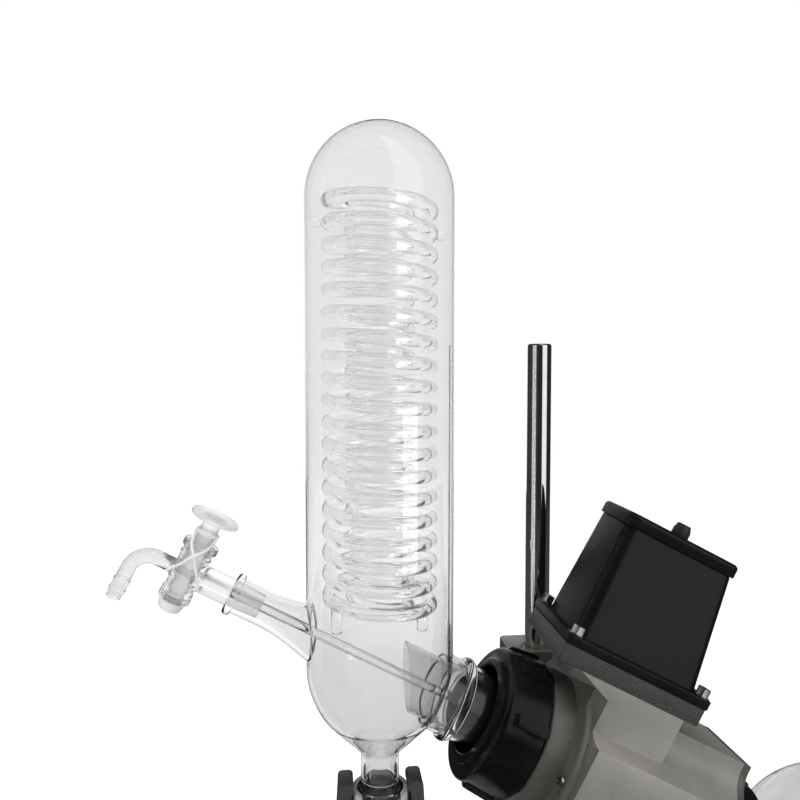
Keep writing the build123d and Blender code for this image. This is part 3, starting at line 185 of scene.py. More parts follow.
def painted(node, material):
    """Gives a finish to a CAD node that keeps its own mesh."""
    nodes[node].data.materials.clear()
    nodes[node].data.materials.append(material)


fitted("bath_shell", softened("bath_casing", 0.001), "base_paint", powder_coat, "bath_casing")
fitted("bath_bowl", softened("bath_pot", 0.0004), "pot_steel", pot_steel, "bath_pot")
fitted("bath_front", softened("bath_panel", 0.0006), "panel_plastic", panel_black, "bath_panel")
fitted("bath_window", softened("bath_display", 0.0005), "display_glass", window_dark, "bath_display")
fitted("bath_rocker", softened("power_switch", 0.0004), "black_plastic", switch_red, "power_switch")
fitted("bath_dial", softened("temperature_dial", 0.0006), "black_plastic", panel_black, "temperature_dial")
painted("heater_plate", heater_iron)

# Head castings: a dark grey front casting and clamp block, and a silver drive housing with hollowed
# corners behind them, all satin paint over cast aluminium. Cap screws hold the flanges.
dark_paint = finish(
    "warm_grey_paint", ((0.066, 0.063, 0.056), (0.082, 0.079, 0.070)), (0.30, 0.42), 1700, 26, 0.22,
    coat=0.15,
)
silver_paint = finish(
    "silver_paint", ((0.40, 0.385, 0.36), (0.46, 0.445, 0.415)), (0.26, 0.38), 2300, 22, 0.3,
    metallic=0.55,
)
fitted("clamp", softened("clamp_block", 0.001), "dark_casting", dark_paint, "clamp_block")
fitted("head_front", softened("front_casting", 0.0009), "dark_casting", dark_paint, "front_casting")
fitted("head_housing", softened("drive_housing", 0.0012), "silver_casting", silver_paint, "drive_housing")
fitted("head_back", softened("rear_plate", 0.001), "dark_casting", dark_paint, "rear_plate")
fitted("front_screws", softened("flange_screws", 0.0003), "steel", screw_steel, "flange_screws")
fitted("back_screws", softened("rear_plate_screws", 0.0003), "steel", screw_steel, "rear_plate_screws")
fitted("lift_knob", softened("clamp_knob", 0.0006), "black_plastic", panel_black, "clamp_knob")

# Drive inside the housing: bearing rings and spindle of ground steel, a brass crown wheel with its
# pinion, and the motor. They are hidden, and keep the shapes that they run with.
gear_brass = finish(
    "gear_brass", ((0.52, 0.37, 0.14), (0.62, 0.46, 0.19)), (0.24, 0.36), 1800, 90, 0.08,
    metallic=1.0,
)
motor_enamel = finish(
    "motor_enamel", ((0.05, 0.05, 0.055), (0.07, 0.07, 0.075)), (0.4, 0.5), 1500, 50, 0.15
)
inner_finish = {
    "bearing_outer_rings": screw_steel,
    "bearing_inner_rings": screw_steel,
    "spindle": screw_steel,
    "motor_shaft": screw_steel,
    "crown_wheel": gear_brass,
    "pinion": gear_brass,
    "motor": motor_enamel,
}
for node, material in inner_finish.items():
    painted(node, material)

# Motor housing: a speckled spacer casting, a tapered glossy black hood with a flange, and a stepped
# lid with a cable gland. Bright hexagon bolts go through the flange's corners.
speckle_black = finish(
    "speckled_black_paint", ((0.018, 0.018, 0.018), (0.075, 0.075, 0.073)), (0.42, 0.6), 750, 900, 1.0
)
hood_black = finish(
    "gloss_black_paint", ((0.0045, 0.0045, 0.0045), (0.0075, 0.0075, 0.0075)), (0.22, 0.34),
    1900, 14, 0.08, specular=0.22,
)
fitted("spacer", softened("motor_spacer", 0.0008), "black_casting", speckle_black, "motor_spacer")
fitted("hood", softened("motor_cover", 0.001), "black_plastic", hood_black, "motor_cover")
fitted("hood_lid", softened("motor_lid", 0.0008), "black_plastic", hood_black, "motor_lid")
fitted("hood_bolts", softened("cover_bolts", 0.0004), "steel", screw_steel, "cover_bolts")
fitted("hood_gland", softened("cable_gland", 0.0005), "black_plastic", panel_black, "cable_gland")

# Coupling nut: a glossy black moulding that draws the condenser's port onto the head, with a smooth
# round rim in front and eight ribs behind it. A split ring and a seal sit inside it.
nut_black = finish(
    "nut_black", ((0.0035, 0.0035, 0.0035), (0.007, 0.007, 0.007)), (0.16, 0.30), 1500, 24, 0.06,
    specular=0.2,
)
seal_rubber = finish(
    "seal_rubber", ((0.008, 0.008, 0.008), (0.014, 0.014, 0.014)), (0.5, 0.6), 1200, 60, 0.1
)
fitted("nut", softened("coupling_nut", 0.0008), "black_plastic", nut_black, "coupling_nut")
fitted("flask_ring_nut", softened("flask_nut", 0.0008), "black_plastic", nut_black, "flask_nut")
fitted("clamp_split_ring", softened("split_ring", 0.0005), "black_plastic", nut_black, "split_ring")
fitted("seal", softened("port_seal", 0.0005), "rubber", seal_rubber, "port_seal")

# Condenser body: borosilicate glass, blown as one piece with a domed top, a bulb with a ball at its
# neck, a ground socket for the stopcock and a ringed port for the drive, whose stub drips inside.
ROUND = 96
UPRIGHT = Matrix.Translation(Vector(joints["flask_spin"]["pos_m"]))
slope_along = Vector(joints["flask_spin"]["axis"])
slope_up = Vector(joints["motor_spin"]["axis"])
DRIVE = Matrix((slope_up, slope_along.cross(slope_up), slope_along)).transposed().to_4x4()
DRIVE.translation = UPRIGHT.translation
BARREL_R = 0.065
BARREL_WALL = 0.004
BARREL_TOP = 0.474
BULB_START = -0.003
BULB_ANGLE = math.radians(44)
BULB_FILLET = 0.009
NECK_R = 0.017
NECK_BORE = 0.0135
NECK_END = -0.104
BALL_END = -0.119
BALL_R = 0.0175
BALL_WAIST = 0.0158
PORT_R = 0.0335
PORT_BORE = 0.031
PORT_RING_R = 0.0375
PORT_RING = (0.072, 0.080)
PORT_END = 0.130
PORT_FLANGE_R = 0.043
PORT_FLANGE = 0.008
STUB_R = 0.0275
STUB_BORE = 0.025
STUB_X = 0.024
SOCKET_R = 0.0155
SOCKET_MOUTH = -0.147
SOCKET_COLLAR_R = 0.0185
SOCKET_COLLAR = 0.007
SOCKET_BORE = 0.0115
SOCKET_FLARE_T = -0.100
SOCKET_FLARE_R = 0.027
CONE_WIDENS = 0.0005
CONE_NARROWS = 0.001
CONE_LENGTH = 0.029
STUB_LAP = 0.002
OVERSHOOT = 0.001
DOME_STEPS = 18
BULB_STEPS = 10
EDGE_STEPS = 4
LIP_STEPS = 3
FLARE_STEPS = (6, 5)
RIDGE_STEPS = 5
RING_ROUND = 0.0036
FLANGE_ROUND = 0.002
COLLAR_ROUND = (0.0028, 0.0024)
FLARE_ROUND = (0.014, 0.010)
GLASS_IOR = 1.47
WAVE_STRETCH = 0.12
WAVE_SCALE = 55
WAVE_DETAIL = 1.5
WAVE_DEPTH = 0.002
# Painted shade on the glass: full at the low tint below this height, gone to the high tint above the next.
SHADE_FULL_BELOW = 0.43
SHADE_GONE_ABOVE = 0.58


def turned(outline, rounds=(), place=Matrix(), closed=False, steps=ROUND):
    """Solid of revolution from (radius, height) corners; rounds gives (corner, radius, segments)."""
    bm = bmesh.new()
    corners = [bm.verts.new((radius, 0, height)) for radius, height in outline]
    pairs = list(zip(corners, corners[1:]))
    if closed:
        pairs.append((corners[-1], corners[0]))
    for pair in pairs:
        bm.edges.new(pair)
    for corner, radius, segments in rounds:
        bmesh.ops.bevel(
            bm, geom=[corners[corner]], offset=radius, offset_type="OFFSET", affect="VERTICES",
            segments=segments, profile=0.5, material=-1,
        )
    bmesh.ops.remove_doubles(bm, verts=bm.verts, dist=WELD)
    bmesh.ops.spin(
        bm, geom=bm.verts[:] + bm.edges[:], cent=(0, 0, 0), axis=(0, 0, 1), dvec=(0, 0, 0),
        angle=math.tau, steps=steps, use_merge=True,
    )
    bmesh.ops.remove_doubles(bm, verts=bm.verts, dist=WELD)
    bmesh.ops.recalc_face_normals(bm, faces=bm.faces)
    bmesh.ops.transform(bm, matrix=place, verts=bm.verts)
    return bm


def scratch_object(bm):
    """Throwaway object that holds a bmesh while modifiers work on it."""
    mesh = bpy.data.meshes.new("scratch")
    bm.to_mesh(mesh)
    bm.free()
    thing = bpy.data.objects.new("scratch", mesh)
    bpy.context.scene.collection.objects.link(thing)
    return thing


def combined(base, tools):
    """Joins or cuts closed bmeshes into the base, in turn: tools are (operation, bmesh) pairs."""
    whole = scratch_object(base)
    helpers = []
    for operation, tool in tools:
        helper = scratch_object(tool)
        helpers.append(helper)
        modifier = whole.modifiers.new(operation, "BOOLEAN")
        modifier.operation = operation
        modifier.solver = "EXACT"
        modifier.object = helper
    bm = bmesh.new()
    bm.from_object(whole, bpy.context.evaluated_depsgraph_get())
    for thing in (whole, *helpers):
        bpy.data.meshes.remove(thing.data)
    bmesh.ops.remove_doubles(bm, verts=bm.verts, dist=WELD)
    return bm


def clear_glass(name, shaded_and_clear_tints, waves=0.05, roughness=(0.0, 0.015)):
    """Clear glass with slight waves along Z of blown tube, and painted shade that greys it low down."""
    material = bpy.data.materials.new(name)
    material.use_nodes = True
    tree = material.node_tree
    shader = tree.nodes["Principled BSDF"]
    shader.inputs["Transmission Weight"].default_value = 1.0
    shader.inputs["IOR"].default_value = GLASS_IOR
    place = tree.nodes.new("ShaderNodeTexCoord")
    stretch = tree.nodes.new("ShaderNodeMapping")
    stretch.inputs["Scale"].default_value = (1, 1, WAVE_STRETCH)
    ripple = tree.nodes.new("ShaderNodeTexNoise")
    ripple.inputs["Scale"].default_value = WAVE_SCALE
    ripple.inputs["Detail"].default_value = WAVE_DETAIL
    bump = tree.nodes.new("ShaderNodeBump")
    bump.inputs["Strength"].default_value = waves
    bump.inputs["Distance"].default_value = WAVE_DEPTH
    gloss = tree.nodes.new("ShaderNodeMapRange")
    gloss.inputs["To Min"].default_value = roughness[0]
    gloss.inputs["To Max"].default_value = roughness[1]
    height = tree.nodes.new("ShaderNodeSeparateXYZ")
    # Painted shade: the tint darkens from its high value to its low value going down in height.
    shade = tree.nodes.new("ShaderNodeMapRange")
    shade.interpolation_type = "SMOOTHSTEP"
    shade.inputs["From Min"].default_value = SHADE_FULL_BELOW
    shade.inputs["From Max"].default_value = SHADE_GONE_ABOVE
    tone = tree.nodes.new("ShaderNodeValToRGB")
    for stop, tint in zip(tone.color_ramp.elements, shaded_and_clear_tints):
        stop.color = (tint, tint, tint, 1)
    tree.links.new(place.outputs["Object"], height.inputs["Vector"])
    tree.links.new(height.outputs["Z"], shade.inputs["Value"])
    tree.links.new(shade.outputs["Result"], tone.inputs["Fac"])
    tree.links.new(tone.outputs["Color"], shader.inputs["Base Color"])
    tree.links.new(place.outputs["Object"], stretch.inputs["Vector"])
    tree.links.new(stretch.outputs["Vector"], ripple.inputs["Vector"])
    tree.links.new(ripple.outputs["Fac"], bump.inputs["Height"])
    tree.links.new(ripple.outputs["Fac"], gloss.inputs["Value"])
    tree.links.new(gloss.outputs["Result"], shader.inputs["Roughness"])
    tree.links.new(bump.outputs["Normal"], shader.inputs["Normal"])
    return material


def barrel(wall, neck_r, ends):
    """Solid of the condenser at a depth below its outside: dome, barrel, bulb and neck, then the ends."""
    radius = BARREL_R - wall
    top = BARREL_TOP - wall
    bend = radius * math.tan(BULB_ANGLE / 2)
    corner = BULB_START - bend
    neck_top = corner - (radius - neck_r) / math.tan(BULB_ANGLE)
    outline = [(0, top), (radius, top), (radius, corner), (neck_r, neck_top), *ends]
    fillet = BULB_FILLET * math.tan((math.pi / 2 - BULB_ANGLE) / 2)
    rounds = [(1, radius, DOME_STEPS), (2, bend, BULB_STEPS), (3, fillet, EDGE_STEPS)]
    return turned(outline, rounds, UPRIGHT)


ball_middle = (NECK_END + BALL_END) / 2
ball_ends = [
    (NECK_R, NECK_END),
    (BALL_WAIST, NECK_END),
    (BALL_R, ball_middle),
    (BALL_WAIST, BALL_END),
    (0, BALL_END),
]
bore_ends = [(NECK_BORE, BALL_END - OVERSHOOT), (0, BALL_END - OVERSHOOT)]
barrel_outside = barrel(0, NECK_R, ball_ends)
barrel_inside = barrel(BARREL_WALL, NECK_BORE, bore_ends)
port_outside = turned(
    [
        (0, BARREL_WALL),
        (PORT_R, BARREL_WALL),
        (PORT_R, PORT_RING[0]),
        (PORT_RING_R, PORT_RING[0]),
        (PORT_RING_R, PORT_RING[1]),
        (PORT_R, PORT_RING[1]),
        (PORT_R, PORT_END - PORT_FLANGE),
        (PORT_FLANGE_R, PORT_END - PORT_FLANGE),
        (PORT_FLANGE_R, PORT_END),
        (0, PORT_END),
    ],
    [
        (3, RING_ROUND, RIDGE_STEPS),
        (4, RING_ROUND, RIDGE_STEPS),
        (7, FLANGE_ROUND, LIP_STEPS),
        (8, FLANGE_ROUND, LIP_STEPS),
    ],
    DRIVE,
)
port_inside = turned(
    [
        (0, BARREL_WALL),
        (PORT_BORE, BARREL_WALL),
        (PORT_BORE, PORT_RING[0]),
        (STUB_BORE, PORT_RING[0]),
        (STUB_BORE, PORT_RING[1]),
        (PORT_BORE, PORT_RING[1]),
        (PORT_BORE, PORT_END + OVERSHOOT),
        (0, PORT_END + OVERSHOOT),
    ],
    place=DRIVE,
)
socket_outside = turned(
    [
        (0, SOCKET_MOUTH),
        (SOCKET_COLLAR_R, SOCKET_MOUTH),
        (SOCKET_COLLAR_R, SOCKET_MOUTH + SOCKET_COLLAR),
        (SOCKET_R, SOCKET_MOUTH + SOCKET_COLLAR),
        (SOCKET_R, SOCKET_FLARE_T),
        (SOCKET_FLARE_R, SOCKET_FLARE_T / 2),
        (0, SOCKET_FLARE_T / 2),
    ],
    [
        (1, COLLAR_ROUND[0], EDGE_STEPS),
        (2, COLLAR_ROUND[1], EDGE_STEPS),
        (4, FLARE_ROUND[0], FLARE_STEPS[0]),
    ],
    DRIVE,
)
socket_inside = turned(
    [
        (0, SOCKET_MOUTH - OVERSHOOT),
        (SOCKET_BORE + CONE_WIDENS, SOCKET_MOUTH - OVERSHOOT),
        (SOCKET_BORE - CONE_NARROWS, SOCKET_MOUTH + CONE_LENGTH),
        (SOCKET_BORE, SOCKET_FLARE_T),
        (SOCKET_FLARE_R - BARREL_WALL, SOCKET_FLARE_T / 2),
        (0, SOCKET_FLARE_T / 2),
    ],
    [(3, FLARE_ROUND[1], FLARE_STEPS[1])],
    DRIVE,
)
stub_end = PORT_RING[1] - STUB_LAP
stub = turned(
    [(STUB_BORE, 0), (STUB_R, 0), (STUB_R, stub_end), (STUB_BORE, stub_end)], place=DRIVE, closed=True
)
cut_plane = UPRIGHT.translation + Vector((STUB_X, 0, 0))
cut = bmesh.ops.bisect_plane(
    stub, geom=stub.verts[:] + stub.edges[:] + stub.faces[:], plane_co=cut_plane, plane_no=(-1, 0, 0),
    clear_outer=True,
)
rim = [edge for edge in cut["geom_cut"] if isinstance(edge, bmesh.types.BMEdge)]
bmesh.ops.bridge_loops(stub, edges=rim)
bmesh.ops.recalc_face_normals(stub, faces=stub.faces)
condenser = combined(
    barrel_outside,
    [
        ("UNION", port_outside),
        ("UNION", socket_outside),
        ("DIFFERENCE", barrel_inside),
        ("DIFFERENCE", port_inside),
        ("DIFFERENCE", socket_inside),
        ("UNION", stub),
    ],
)
# Painted shade: this glass greys to its low tint at the bulb and below, and the flasks share it.
barrel_glass = clear_glass("barrel_glass", (0.74, 0.92))
fitted("condenser_glass", condenser, "clear_glass", barrel_glass, "condenser_body")

# Port sleeve: a black tube set inside the drive port behind its ring, which makes the port
# look dark through the glass.
SLEEVE_R = 0.0306
SLEEVE_BORE = 0.0288
SLEEVE_FRONT = 0.0805
SLEEVE_BACK = 0.104
sleeve = turned(
    [
        (SLEEVE_BORE, SLEEVE_FRONT),
        (SLEEVE_R, SLEEVE_FRONT),
        (SLEEVE_R, SLEEVE_BACK),
        (SLEEVE_BORE, SLEEVE_BACK),
    ],
    place=DRIVE,
    closed=True,
)
fitted("port_sleeve", sleeve, "rubber", seal_rubber)

# Coils: thin glass tube wound up in one helix near the wall and back down the middle in another,
# joined by a bend at the top. Both ends leave through the back of the barrel.
OUTER_COIL_R = 0.0452
OUTER_TUBE_R = 0.006
OUTER_PITCH = 0.019
OUTER_HALF_TURNS = 37
COIL_LOW = 0.055
INNER_COIL_R = 0.026
INNER_TUBE_R = 0.005
INNER_PITCH = 0.0244
INNER_HALF_TURNS = 29
COIL_WALL = 0.0011
COIL_EXIT = 0.0015
TUBE_SIDES = 14
HALF_TURN_STEPS = 22
BEND_STEPS = 12
coil_top = COIL_LOW + OUTER_PITCH * OUTER_HALF_TURNS / 2


def last_edges(spun):
    """Edges at the moving end of a spin."""
    return [part for part in spun["geom_last"] if isinstance(part, bmesh.types.BMEdge)]


def wound_tube(radius, tube_r, pitch, half_turns, bend_r, exit_reach):
    """Hollow tube that falls in a helix from -X through the front, with a bend at its head if any."""
    bm = bmesh.new()
    start = Matrix.Translation((-radius, 0, coil_top)) @ Matrix.Rotation(math.pi / 2, 4, "X")
    rings = []
    for size in (tube_r, tube_r - COIL_WALL):
        made = bmesh.ops.create_circle(bm, segments=TUBE_SIDES, radius=size, matrix=start)
        rings.extend({edge for vert in made["verts"] for edge in vert.link_edges})
    head = rings
    if bend_r:
        bent = bmesh.ops.spin(
            bm, geom=rings, cent=(-radius - bend_r, 0, coil_top), axis=(0, 0, 1), dvec=(0, 0, 0),
            angle=math.pi, steps=BEND_STEPS,
        )
        head = last_edges(bent)
    fall = (0, 0, -pitch / 2 / HALF_TURN_STEPS)
    wound = bmesh.ops.spin(
        bm, geom=rings, cent=(0, 0, 0), axis=(0, 0, 1), dvec=fall, angle=math.pi * half_turns,
        steps=HALF_TURN_STEPS * half_turns,
    )
    foot = last_edges(wound)
    run = bmesh.ops.extrude_edge_only(bm, edges=foot)
    moved = [part for part in run["geom"] if isinstance(part, bmesh.types.BMVert)]
    bmesh.ops.translate(bm, verts=moved, vec=(0, exit_reach, 0))
    tail = [
        part
        for part in run["geom"]
        if isinstance(part, bmesh.types.BMEdge) and all(vert in moved for vert in part.verts)
    ]
    for end in (head, tail):
        bmesh.ops.bridge_loops(bm, edges=end)
    bmesh.ops.recalc_face_normals(bm, faces=bm.faces)
    bmesh.ops.transform(bm, matrix=UPRIGHT, verts=bm.verts)
    return bm


coil_glass = clear_glass("coil_glass", (0.975, 0.985), waves=0.02)
bend_r = (OUTER_COIL_R - INNER_COIL_R) / 2
outer_reach = math.sqrt(BARREL_R**2 - (OUTER_COIL_R - OUTER_TUBE_R) ** 2) + COIL_EXIT
inner_reach = math.sqrt(BARREL_R**2 - (INNER_COIL_R - INNER_TUBE_R) ** 2) + COIL_EXIT
outer = wound_tube(OUTER_COIL_R, OUTER_TUBE_R, OUTER_PITCH, OUTER_HALF_TURNS, 0, outer_reach)
inner = wound_tube(INNER_COIL_R, INNER_TUBE_R, INNER_PITCH, INNER_HALF_TURNS, bend_r, inner_reach)
fitted("outer_coil_glass", outer, "clear_glass", coil_glass, "outer_coil")
fitted("inner_coil_glass", inner, "clear_glass", coil_glass, "inner_coil")
fitted("coil_pegs", softened("coil_supports", 0.0012), "clear_glass", coil_glass, "coil_supports")
fitted("nipple_glass", softened("hose_nipples", 0.0004), "clear_glass", coil_glass, "hose_nipples")

# Stopcock: a ringed glass barrel on a ground joint, with a bent inlet. Its glass plug has a round
# frosted handle, a white retainer below and an elastic tie crossed over the barrel.
white_ptfe = finish(
    "white_ptfe", ((0.80, 0.80, 0.80), (0.86, 0.86, 0.86)), (0.35, 0.45), 900, 60, 0.08
)
white_elastic = finish(
    "white_elastic", ((0.84, 0.83, 0.85), (0.90, 0.89, 0.91)), (0.55, 0.65), 2600, 300, 0.5
)
COCK = Matrix((slope_along, slope_up.cross(slope_along), slope_up)).transposed().to_4x4()
COCK.translation = Vector(joints["stopcock_turn"]["pos_m"])
COCK_RINGS = (0.016, 0.005, -0.007, -0.018)
RING_INSIDE = 0.0118
RING_R = 0.0149
RING_HALF = 0.0032
RING_EDGE = 0.002
RING_STEPS = 48
TIE_R = 0.0012
LOOP_R = 0.0093
LOOP_H = 0.038
LOOP_POINTS = 16
TIE_START = 0.003
TIE_SHOULDER = (0.009, 0.0160, 0.030)
TIE_CROSS = (-0.001, 0.0175, 0.020)
TIE_WAIST = (0.0170, 0.008)
TIE_HOOKS = ((1, (-0.016, 0.0078, -0.004)), (-1, (0.016, 0.0132, -0.007)))


def cord(points, radius, closed=False):
    """Round cord along a smooth curve through control points, in the stopcock's frame."""
    curve = bpy.data.curves.new("cord", "CURVE")
    curve.dimensions = "3D"
    curve.bevel_depth = radius
    curve.bevel_resolution = 2
    curve.use_fill_caps = True
    spline = curve.splines.new("NURBS")
    spline.points.add(len(points) - 1)
    for point, place in zip(spline.points, points):
        point.co = (*place, 1)
    spline.use_endpoint_u = not closed
    spline.use_cyclic_u = closed
    spline.order_u = 3
    thing = bpy.data.objects.new("cord", curve)
    mesh = bpy.data.meshes.new_from_object(thing)
    bpy.data.curves.remove(curve)
    return mesh


rings = []
for height in COCK_RINGS:
    outline = [(RING_INSIDE, height - RING_HALF), (RING_R, height), (RING_INSIDE, height + RING_HALF)]
    ring = turned(outline, [(1, RING_EDGE, LIP_STEPS)], COCK, closed=True, steps=RING_STEPS)
    rings.append(("UNION", ring))
cock_glass = clear_glass("cock_glass", (0.89, 0.91), waves=0.03, roughness=(0.16, 0.28))
ground_glass = clear_glass("ground_glass", (0.95, 0.96), waves=0.03, roughness=(0.45, 0.6))
ringed_body = combined(softened("stopcock_body", 0.0003), rings)
fitted("stopcock_glass", ringed_body, "clear_glass", cock_glass, "stopcock_body")
fitted("plug_glass", softened("stopcock_plug", 0.0004), "clear_glass", ground_glass, "stopcock_plug")
fitted("plug_retainer", softened("stopcock_retainer", 0.0004), "ptfe", white_ptfe, "stopcock_retainer")
turns = [step * math.tau / LOOP_POINTS for step in range(LOOP_POINTS)]
loop = [(LOOP_R * math.cos(turn), LOOP_R * math.sin(turn), LOOP_H) for turn in turns]
strands = [cord(loop, TIE_R, closed=True)]
for side in (-1, 1):
    for way, hook in TIE_HOOKS:
        start = (way * LOOP_R, side * TIE_START, LOOP_H)
        shoulder = (way * TIE_SHOULDER[0], side * TIE_SHOULDER[1], TIE_SHOULDER[2])
        cross = (TIE_CROSS[0], side * TIE_CROSS[1], TIE_CROSS[2])
        waist = (hook[0] / 2, side * TIE_WAIST[0], TIE_WAIST[1])
        end = (hook[0], side * hook[1], hook[2])
        strands.append(cord([start, shoulder, cross, waist, end], TIE_R))
tie = bmesh.new()
for strand in strands:
    tie.from_mesh(strand)
    bpy.data.meshes.remove(strand)
bmesh.ops.transform(tie, matrix=COCK, verts=tie.verts)
fitted("plug_tie", tie, "elastic", white_elastic, "stopcock_tie")
fitted("feed_glass", softened("feed_tube", 0.0003), "clear_glass", coil_glass, "feed_tube")

# Vapour tube and evaporating flask: a heavy glass tube through the spindle, and a round flask whose
# neck the flask nut draws against it.
fitted("vapour_glass", softened("vapour_tube", 0.0003), "clear_glass", coil_glass, "vapour_tube")
flask = softened("evaporating_flask", 0.0005)
fitted("flask_glass", flask, "clear_glass", barrel_glass, "evaporating_flask")

# Receiver: a glass cup on the condenser's ball, held by a cast grey shell whose two dark ears swing
# on pins, and the receiving flask below it.
jaw_paint = finish(
    "dark_jaw_paint", ((0.042, 0.042, 0.041), (0.056, 0.056, 0.054)), (0.45, 0.6), 1300, 60, 0.35
)
shell_paint = finish(
    "grey_shell_paint", ((0.46, 0.455, 0.44), (0.54, 0.535, 0.52)), (0.4, 0.55), 1300, 60, 0.3
)
fitted("receiver_glass", softened("receiver_flask", 0.0005), "clear_glass", barrel_glass, "receiver_flask")
fitted("clamp_shell", softened("receiver_clamp", 0.0006), "dark_jaw", shell_paint, "receiver_clamp")
fitted("right_ear", softened("clamp_ear_right", 0.0008), "dark_jaw", jaw_paint, "clamp_ear_right")
fitted("left_ear", softened("clamp_ear_left", 0.0008), "dark_jaw", jaw_paint, "clamp_ear_left")
fitted("hinge_pins", softened("ear_pins", 0.0003), "steel", screw_steel, "ear_pins")

# Studio: a pale floor, a white sweep behind the machine, and three soft boxes that don't show in
# mirror images, where two bright windows of the room stand instead. The camera is in front.
FLOOR_HALF = 4.0
FLOOR_TONE = 0.5
FLOOR_MIRRORED = 0.07
FLOOR_GLOW = 0.72
FOCAL_PIXELS = 714
FRAME_PIXELS = 800
CAMERA_PLACE = (-0.2497, -0.6246, 0.7322)
CAMERA_DOWN = 2.5
CAMERA_RIGHT = 6.0
LAMP_AIM = Vector((-0.15, 0, 0.6))
LIGHT_BOUNCES = 32
ROOM_LIGHT = 0.6
scene = bpy.context.scene
scene.view_settings.view_transform = "Standard"
scene.cycles.max_bounces = LIGHT_BOUNCES
scene.cycles.transmission_bounces = LIGHT_BOUNCES
scene.cycles.transparent_max_bounces = LIGHT_BOUNCES

floor_mesh = bpy.data.meshes.new("floor")
bm = bmesh.new()
bmesh.ops.create_grid(bm, x_segments=1, y_segments=1, size=FLOOR_HALF)
bm.to_mesh(floor_mesh)
bm.free()
floor = bpy.data.objects.new("floor", floor_mesh)
scene.collection.objects.link(floor)
floor_paint = bpy.data.materials.new("pale_floor")
floor_paint.use_nodes = True
floor_tree = floor_paint.node_tree
floor_shader = floor_tree.nodes["Principled BSDF"]
floor_shader.inputs["Roughness"].default_value = 0.9
floor_shader.inputs["Specular IOR Level"].default_value = 0.0
floor_shader.inputs["Emission Color"].default_value = (1, 1, 1, 1)
floor_path = floor_tree.nodes.new("ShaderNodeLightPath")
seen = floor_tree.nodes.new("ShaderNodeMath")
seen.operation = "MAXIMUM"
glow = floor_tree.nodes.new("ShaderNodeMath")
glow.operation = "MULTIPLY"
glow.inputs[1].default_value = FLOOR_GLOW
mirrored = floor_tree.nodes.new("ShaderNodeMath")
mirrored.operation = "SUBTRACT"
mirrored.use_clamp = True
dimmed = floor_tree.nodes.new("ShaderNodeMapRange")
dimmed.inputs["To Min"].default_value = FLOOR_TONE
dimmed.inputs["To Max"].default_value = FLOOR_MIRRORED
for out_socket, in_socket in (
    (floor_path.outputs["Is Camera Ray"], seen.inputs[0]),
    (floor_path.outputs["Is Transmission Ray"], seen.inputs[1]),
    (seen.outputs[0], glow.inputs[0]),
    (glow.outputs[0], floor_shader.inputs["Emission Strength"]),
    (floor_path.outputs["Is Glossy Ray"], mirrored.inputs[0]),
    (floor_path.outputs["Is Transmission Ray"], mirrored.inputs[1]),
    (mirrored.outputs[0], dimmed.inputs["Value"]),
    (dimmed.outputs["Result"], floor_shader.inputs["Base Color"]),
):
    floor_tree.links.new(out_socket, in_socket)
floor_mesh.materials.append(floor_paint)

world = bpy.data.worlds.new("studio")
scene.world = world
world.use_nodes = True
sky = world.node_tree
background = sky.nodes["Background"]
direction = sky.nodes.new("ShaderNodeTexCoord")
split = sky.nodes.new("ShaderNodeSeparateXYZ")
sky.links.new(direction.outputs["Generated"], split.inputs["Vector"])
path = sky.nodes.new("ShaderNodeLightPath")


def sweep(front, back, low, high):
    """Brightness that rises from the camera's side of the room to the white sweep at the back."""
    rise = sky.nodes.new("ShaderNodeMapRange")
    rise.interpolation_type = "SMOOTHSTEP"
    for socket, value in (("From Min", front), ("From Max", back), ("To Min", low), ("To Max", high)):
        rise.inputs[socket].default_value = value
    sky.links.new(split.outputs["Y"], rise.inputs["Value"])
    return rise.outputs["Result"]


def choose(when, otherwise, chosen):
    """Mixes two brightness values by a kind of ray."""
    mix = sky.nodes.new("ShaderNodeMix")
    sky.links.new(path.outputs[when], mix.inputs["Factor"])
    for value, socket in ((otherwise, mix.inputs["A"]), (chosen, mix.inputs["B"])):
        if isinstance(value, float):
            socket.default_value = value
        else:
            sky.links.new(value, socket)
    return mix.outputs["Result"]


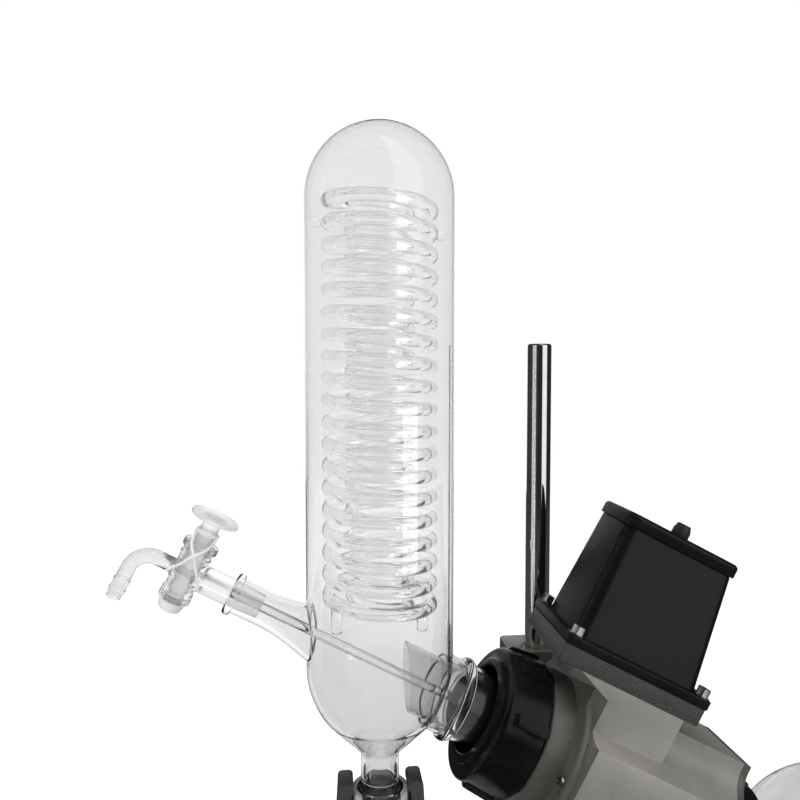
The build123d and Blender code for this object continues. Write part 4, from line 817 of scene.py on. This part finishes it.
def window(toward, narrow, wide, strength):
    """Upright bright panel toward a heading, whose sides fade from narrow to wide, all in degrees."""
    flat = sky.nodes.new("ShaderNodeVectorMath")
    flat.operation = "MULTIPLY"
    flat.inputs[1].default_value = (1, 1, 0)
    unit = sky.nodes.new("ShaderNodeVectorMath")
    unit.operation = "NORMALIZE"
    near = sky.nodes.new("ShaderNodeVectorMath")
    near.operation = "DOT_PRODUCT"
    near.inputs[1].default_value = (math.sin(math.radians(toward)), -math.cos(math.radians(toward)), 0)
    edge = sky.nodes.new("ShaderNodeMapRange")
    edge.interpolation_type = "SMOOTHSTEP"
    edge.inputs["From Min"].default_value = math.cos(math.radians(wide))
    edge.inputs["From Max"].default_value = math.cos(math.radians(narrow))
    edge.inputs["To Max"].default_value = strength
    sky.links.new(direction.outputs["Generated"], flat.inputs[0])
    sky.links.new(flat.outputs[0], unit.inputs[0])
    sky.links.new(unit.outputs[0], near.inputs[0])
    sky.links.new(near.outputs["Value"], edge.inputs["Value"])
    return edge.outputs["Result"]


def brightest(*values):
    """Largest of several brightness values."""
    total = values[0]
    for value in values[1:]:
        larger = sky.nodes.new("ShaderNodeMath")
        larger.operation = "MAXIMUM"
        sky.links.new(total, larger.inputs[0])
        sky.links.new(value, larger.inputs[1])
        total = larger.outputs[0]
    return total


main_window = window(toward=40, narrow=19, wide=27, strength=1.0)
side_window = window(toward=-80, narrow=48, wide=64, strength=0.04)
in_mirrors = brightest(sweep(front=0.86, back=0.985, low=0.02, high=1.0), main_window, side_window)
in_glass = brightest(sweep(front=-0.4, back=0.85, low=0.55, high=1.0), main_window)
level = choose("Is Glossy Ray", ROOM_LIGHT, in_mirrors)
level = choose("Is Transmission Ray", level, in_glass)
level = choose("Is Camera Ray", level, 1.0)
sky.links.new(level, background.inputs["Strength"])
background.inputs["Color"].default_value = (1, 1, 1, 1)

SOFT_BOXES = {
    "key": ((0.80, -1.05, 0.38), (0.65, 0.5), 7, True),
    "fill": ((-1.35, -0.95, 1.15), (0.7, 1.0), 9, False),
    "top": ((0.0, 0.15, 2.2), (1.2, 1.2), 22, False),
}
for name, (place, size, power, seen_in_glass) in SOFT_BOXES.items():
    lamp = bpy.data.lights.new(name, "AREA")
    lamp.shape = "RECTANGLE"
    lamp.size, lamp.size_y = size
    lamp.energy = power
    box = bpy.data.objects.new(name, lamp)
    box.location = place
    box.rotation_euler = (LAMP_AIM - Vector(place)).to_track_quat("-Z", "Y").to_euler()
    box.visible_camera = False
    box.visible_glossy = False
    box.visible_transmission = seen_in_glass
    scene.collection.objects.link(box)

camera = bpy.data.cameras.new("camera")
camera.sensor_width = 36.0
camera.lens = camera.sensor_width * FOCAL_PIXELS / FRAME_PIXELS
camera.clip_start = 0.01
eye = bpy.data.objects.new("camera", camera)
eye.location = CAMERA_PLACE
eye.rotation_euler = (math.radians(90 - CAMERA_DOWN), 0, math.radians(-CAMERA_RIGHT))
scene.collection.objects.link(eye)
scene.camera = eye
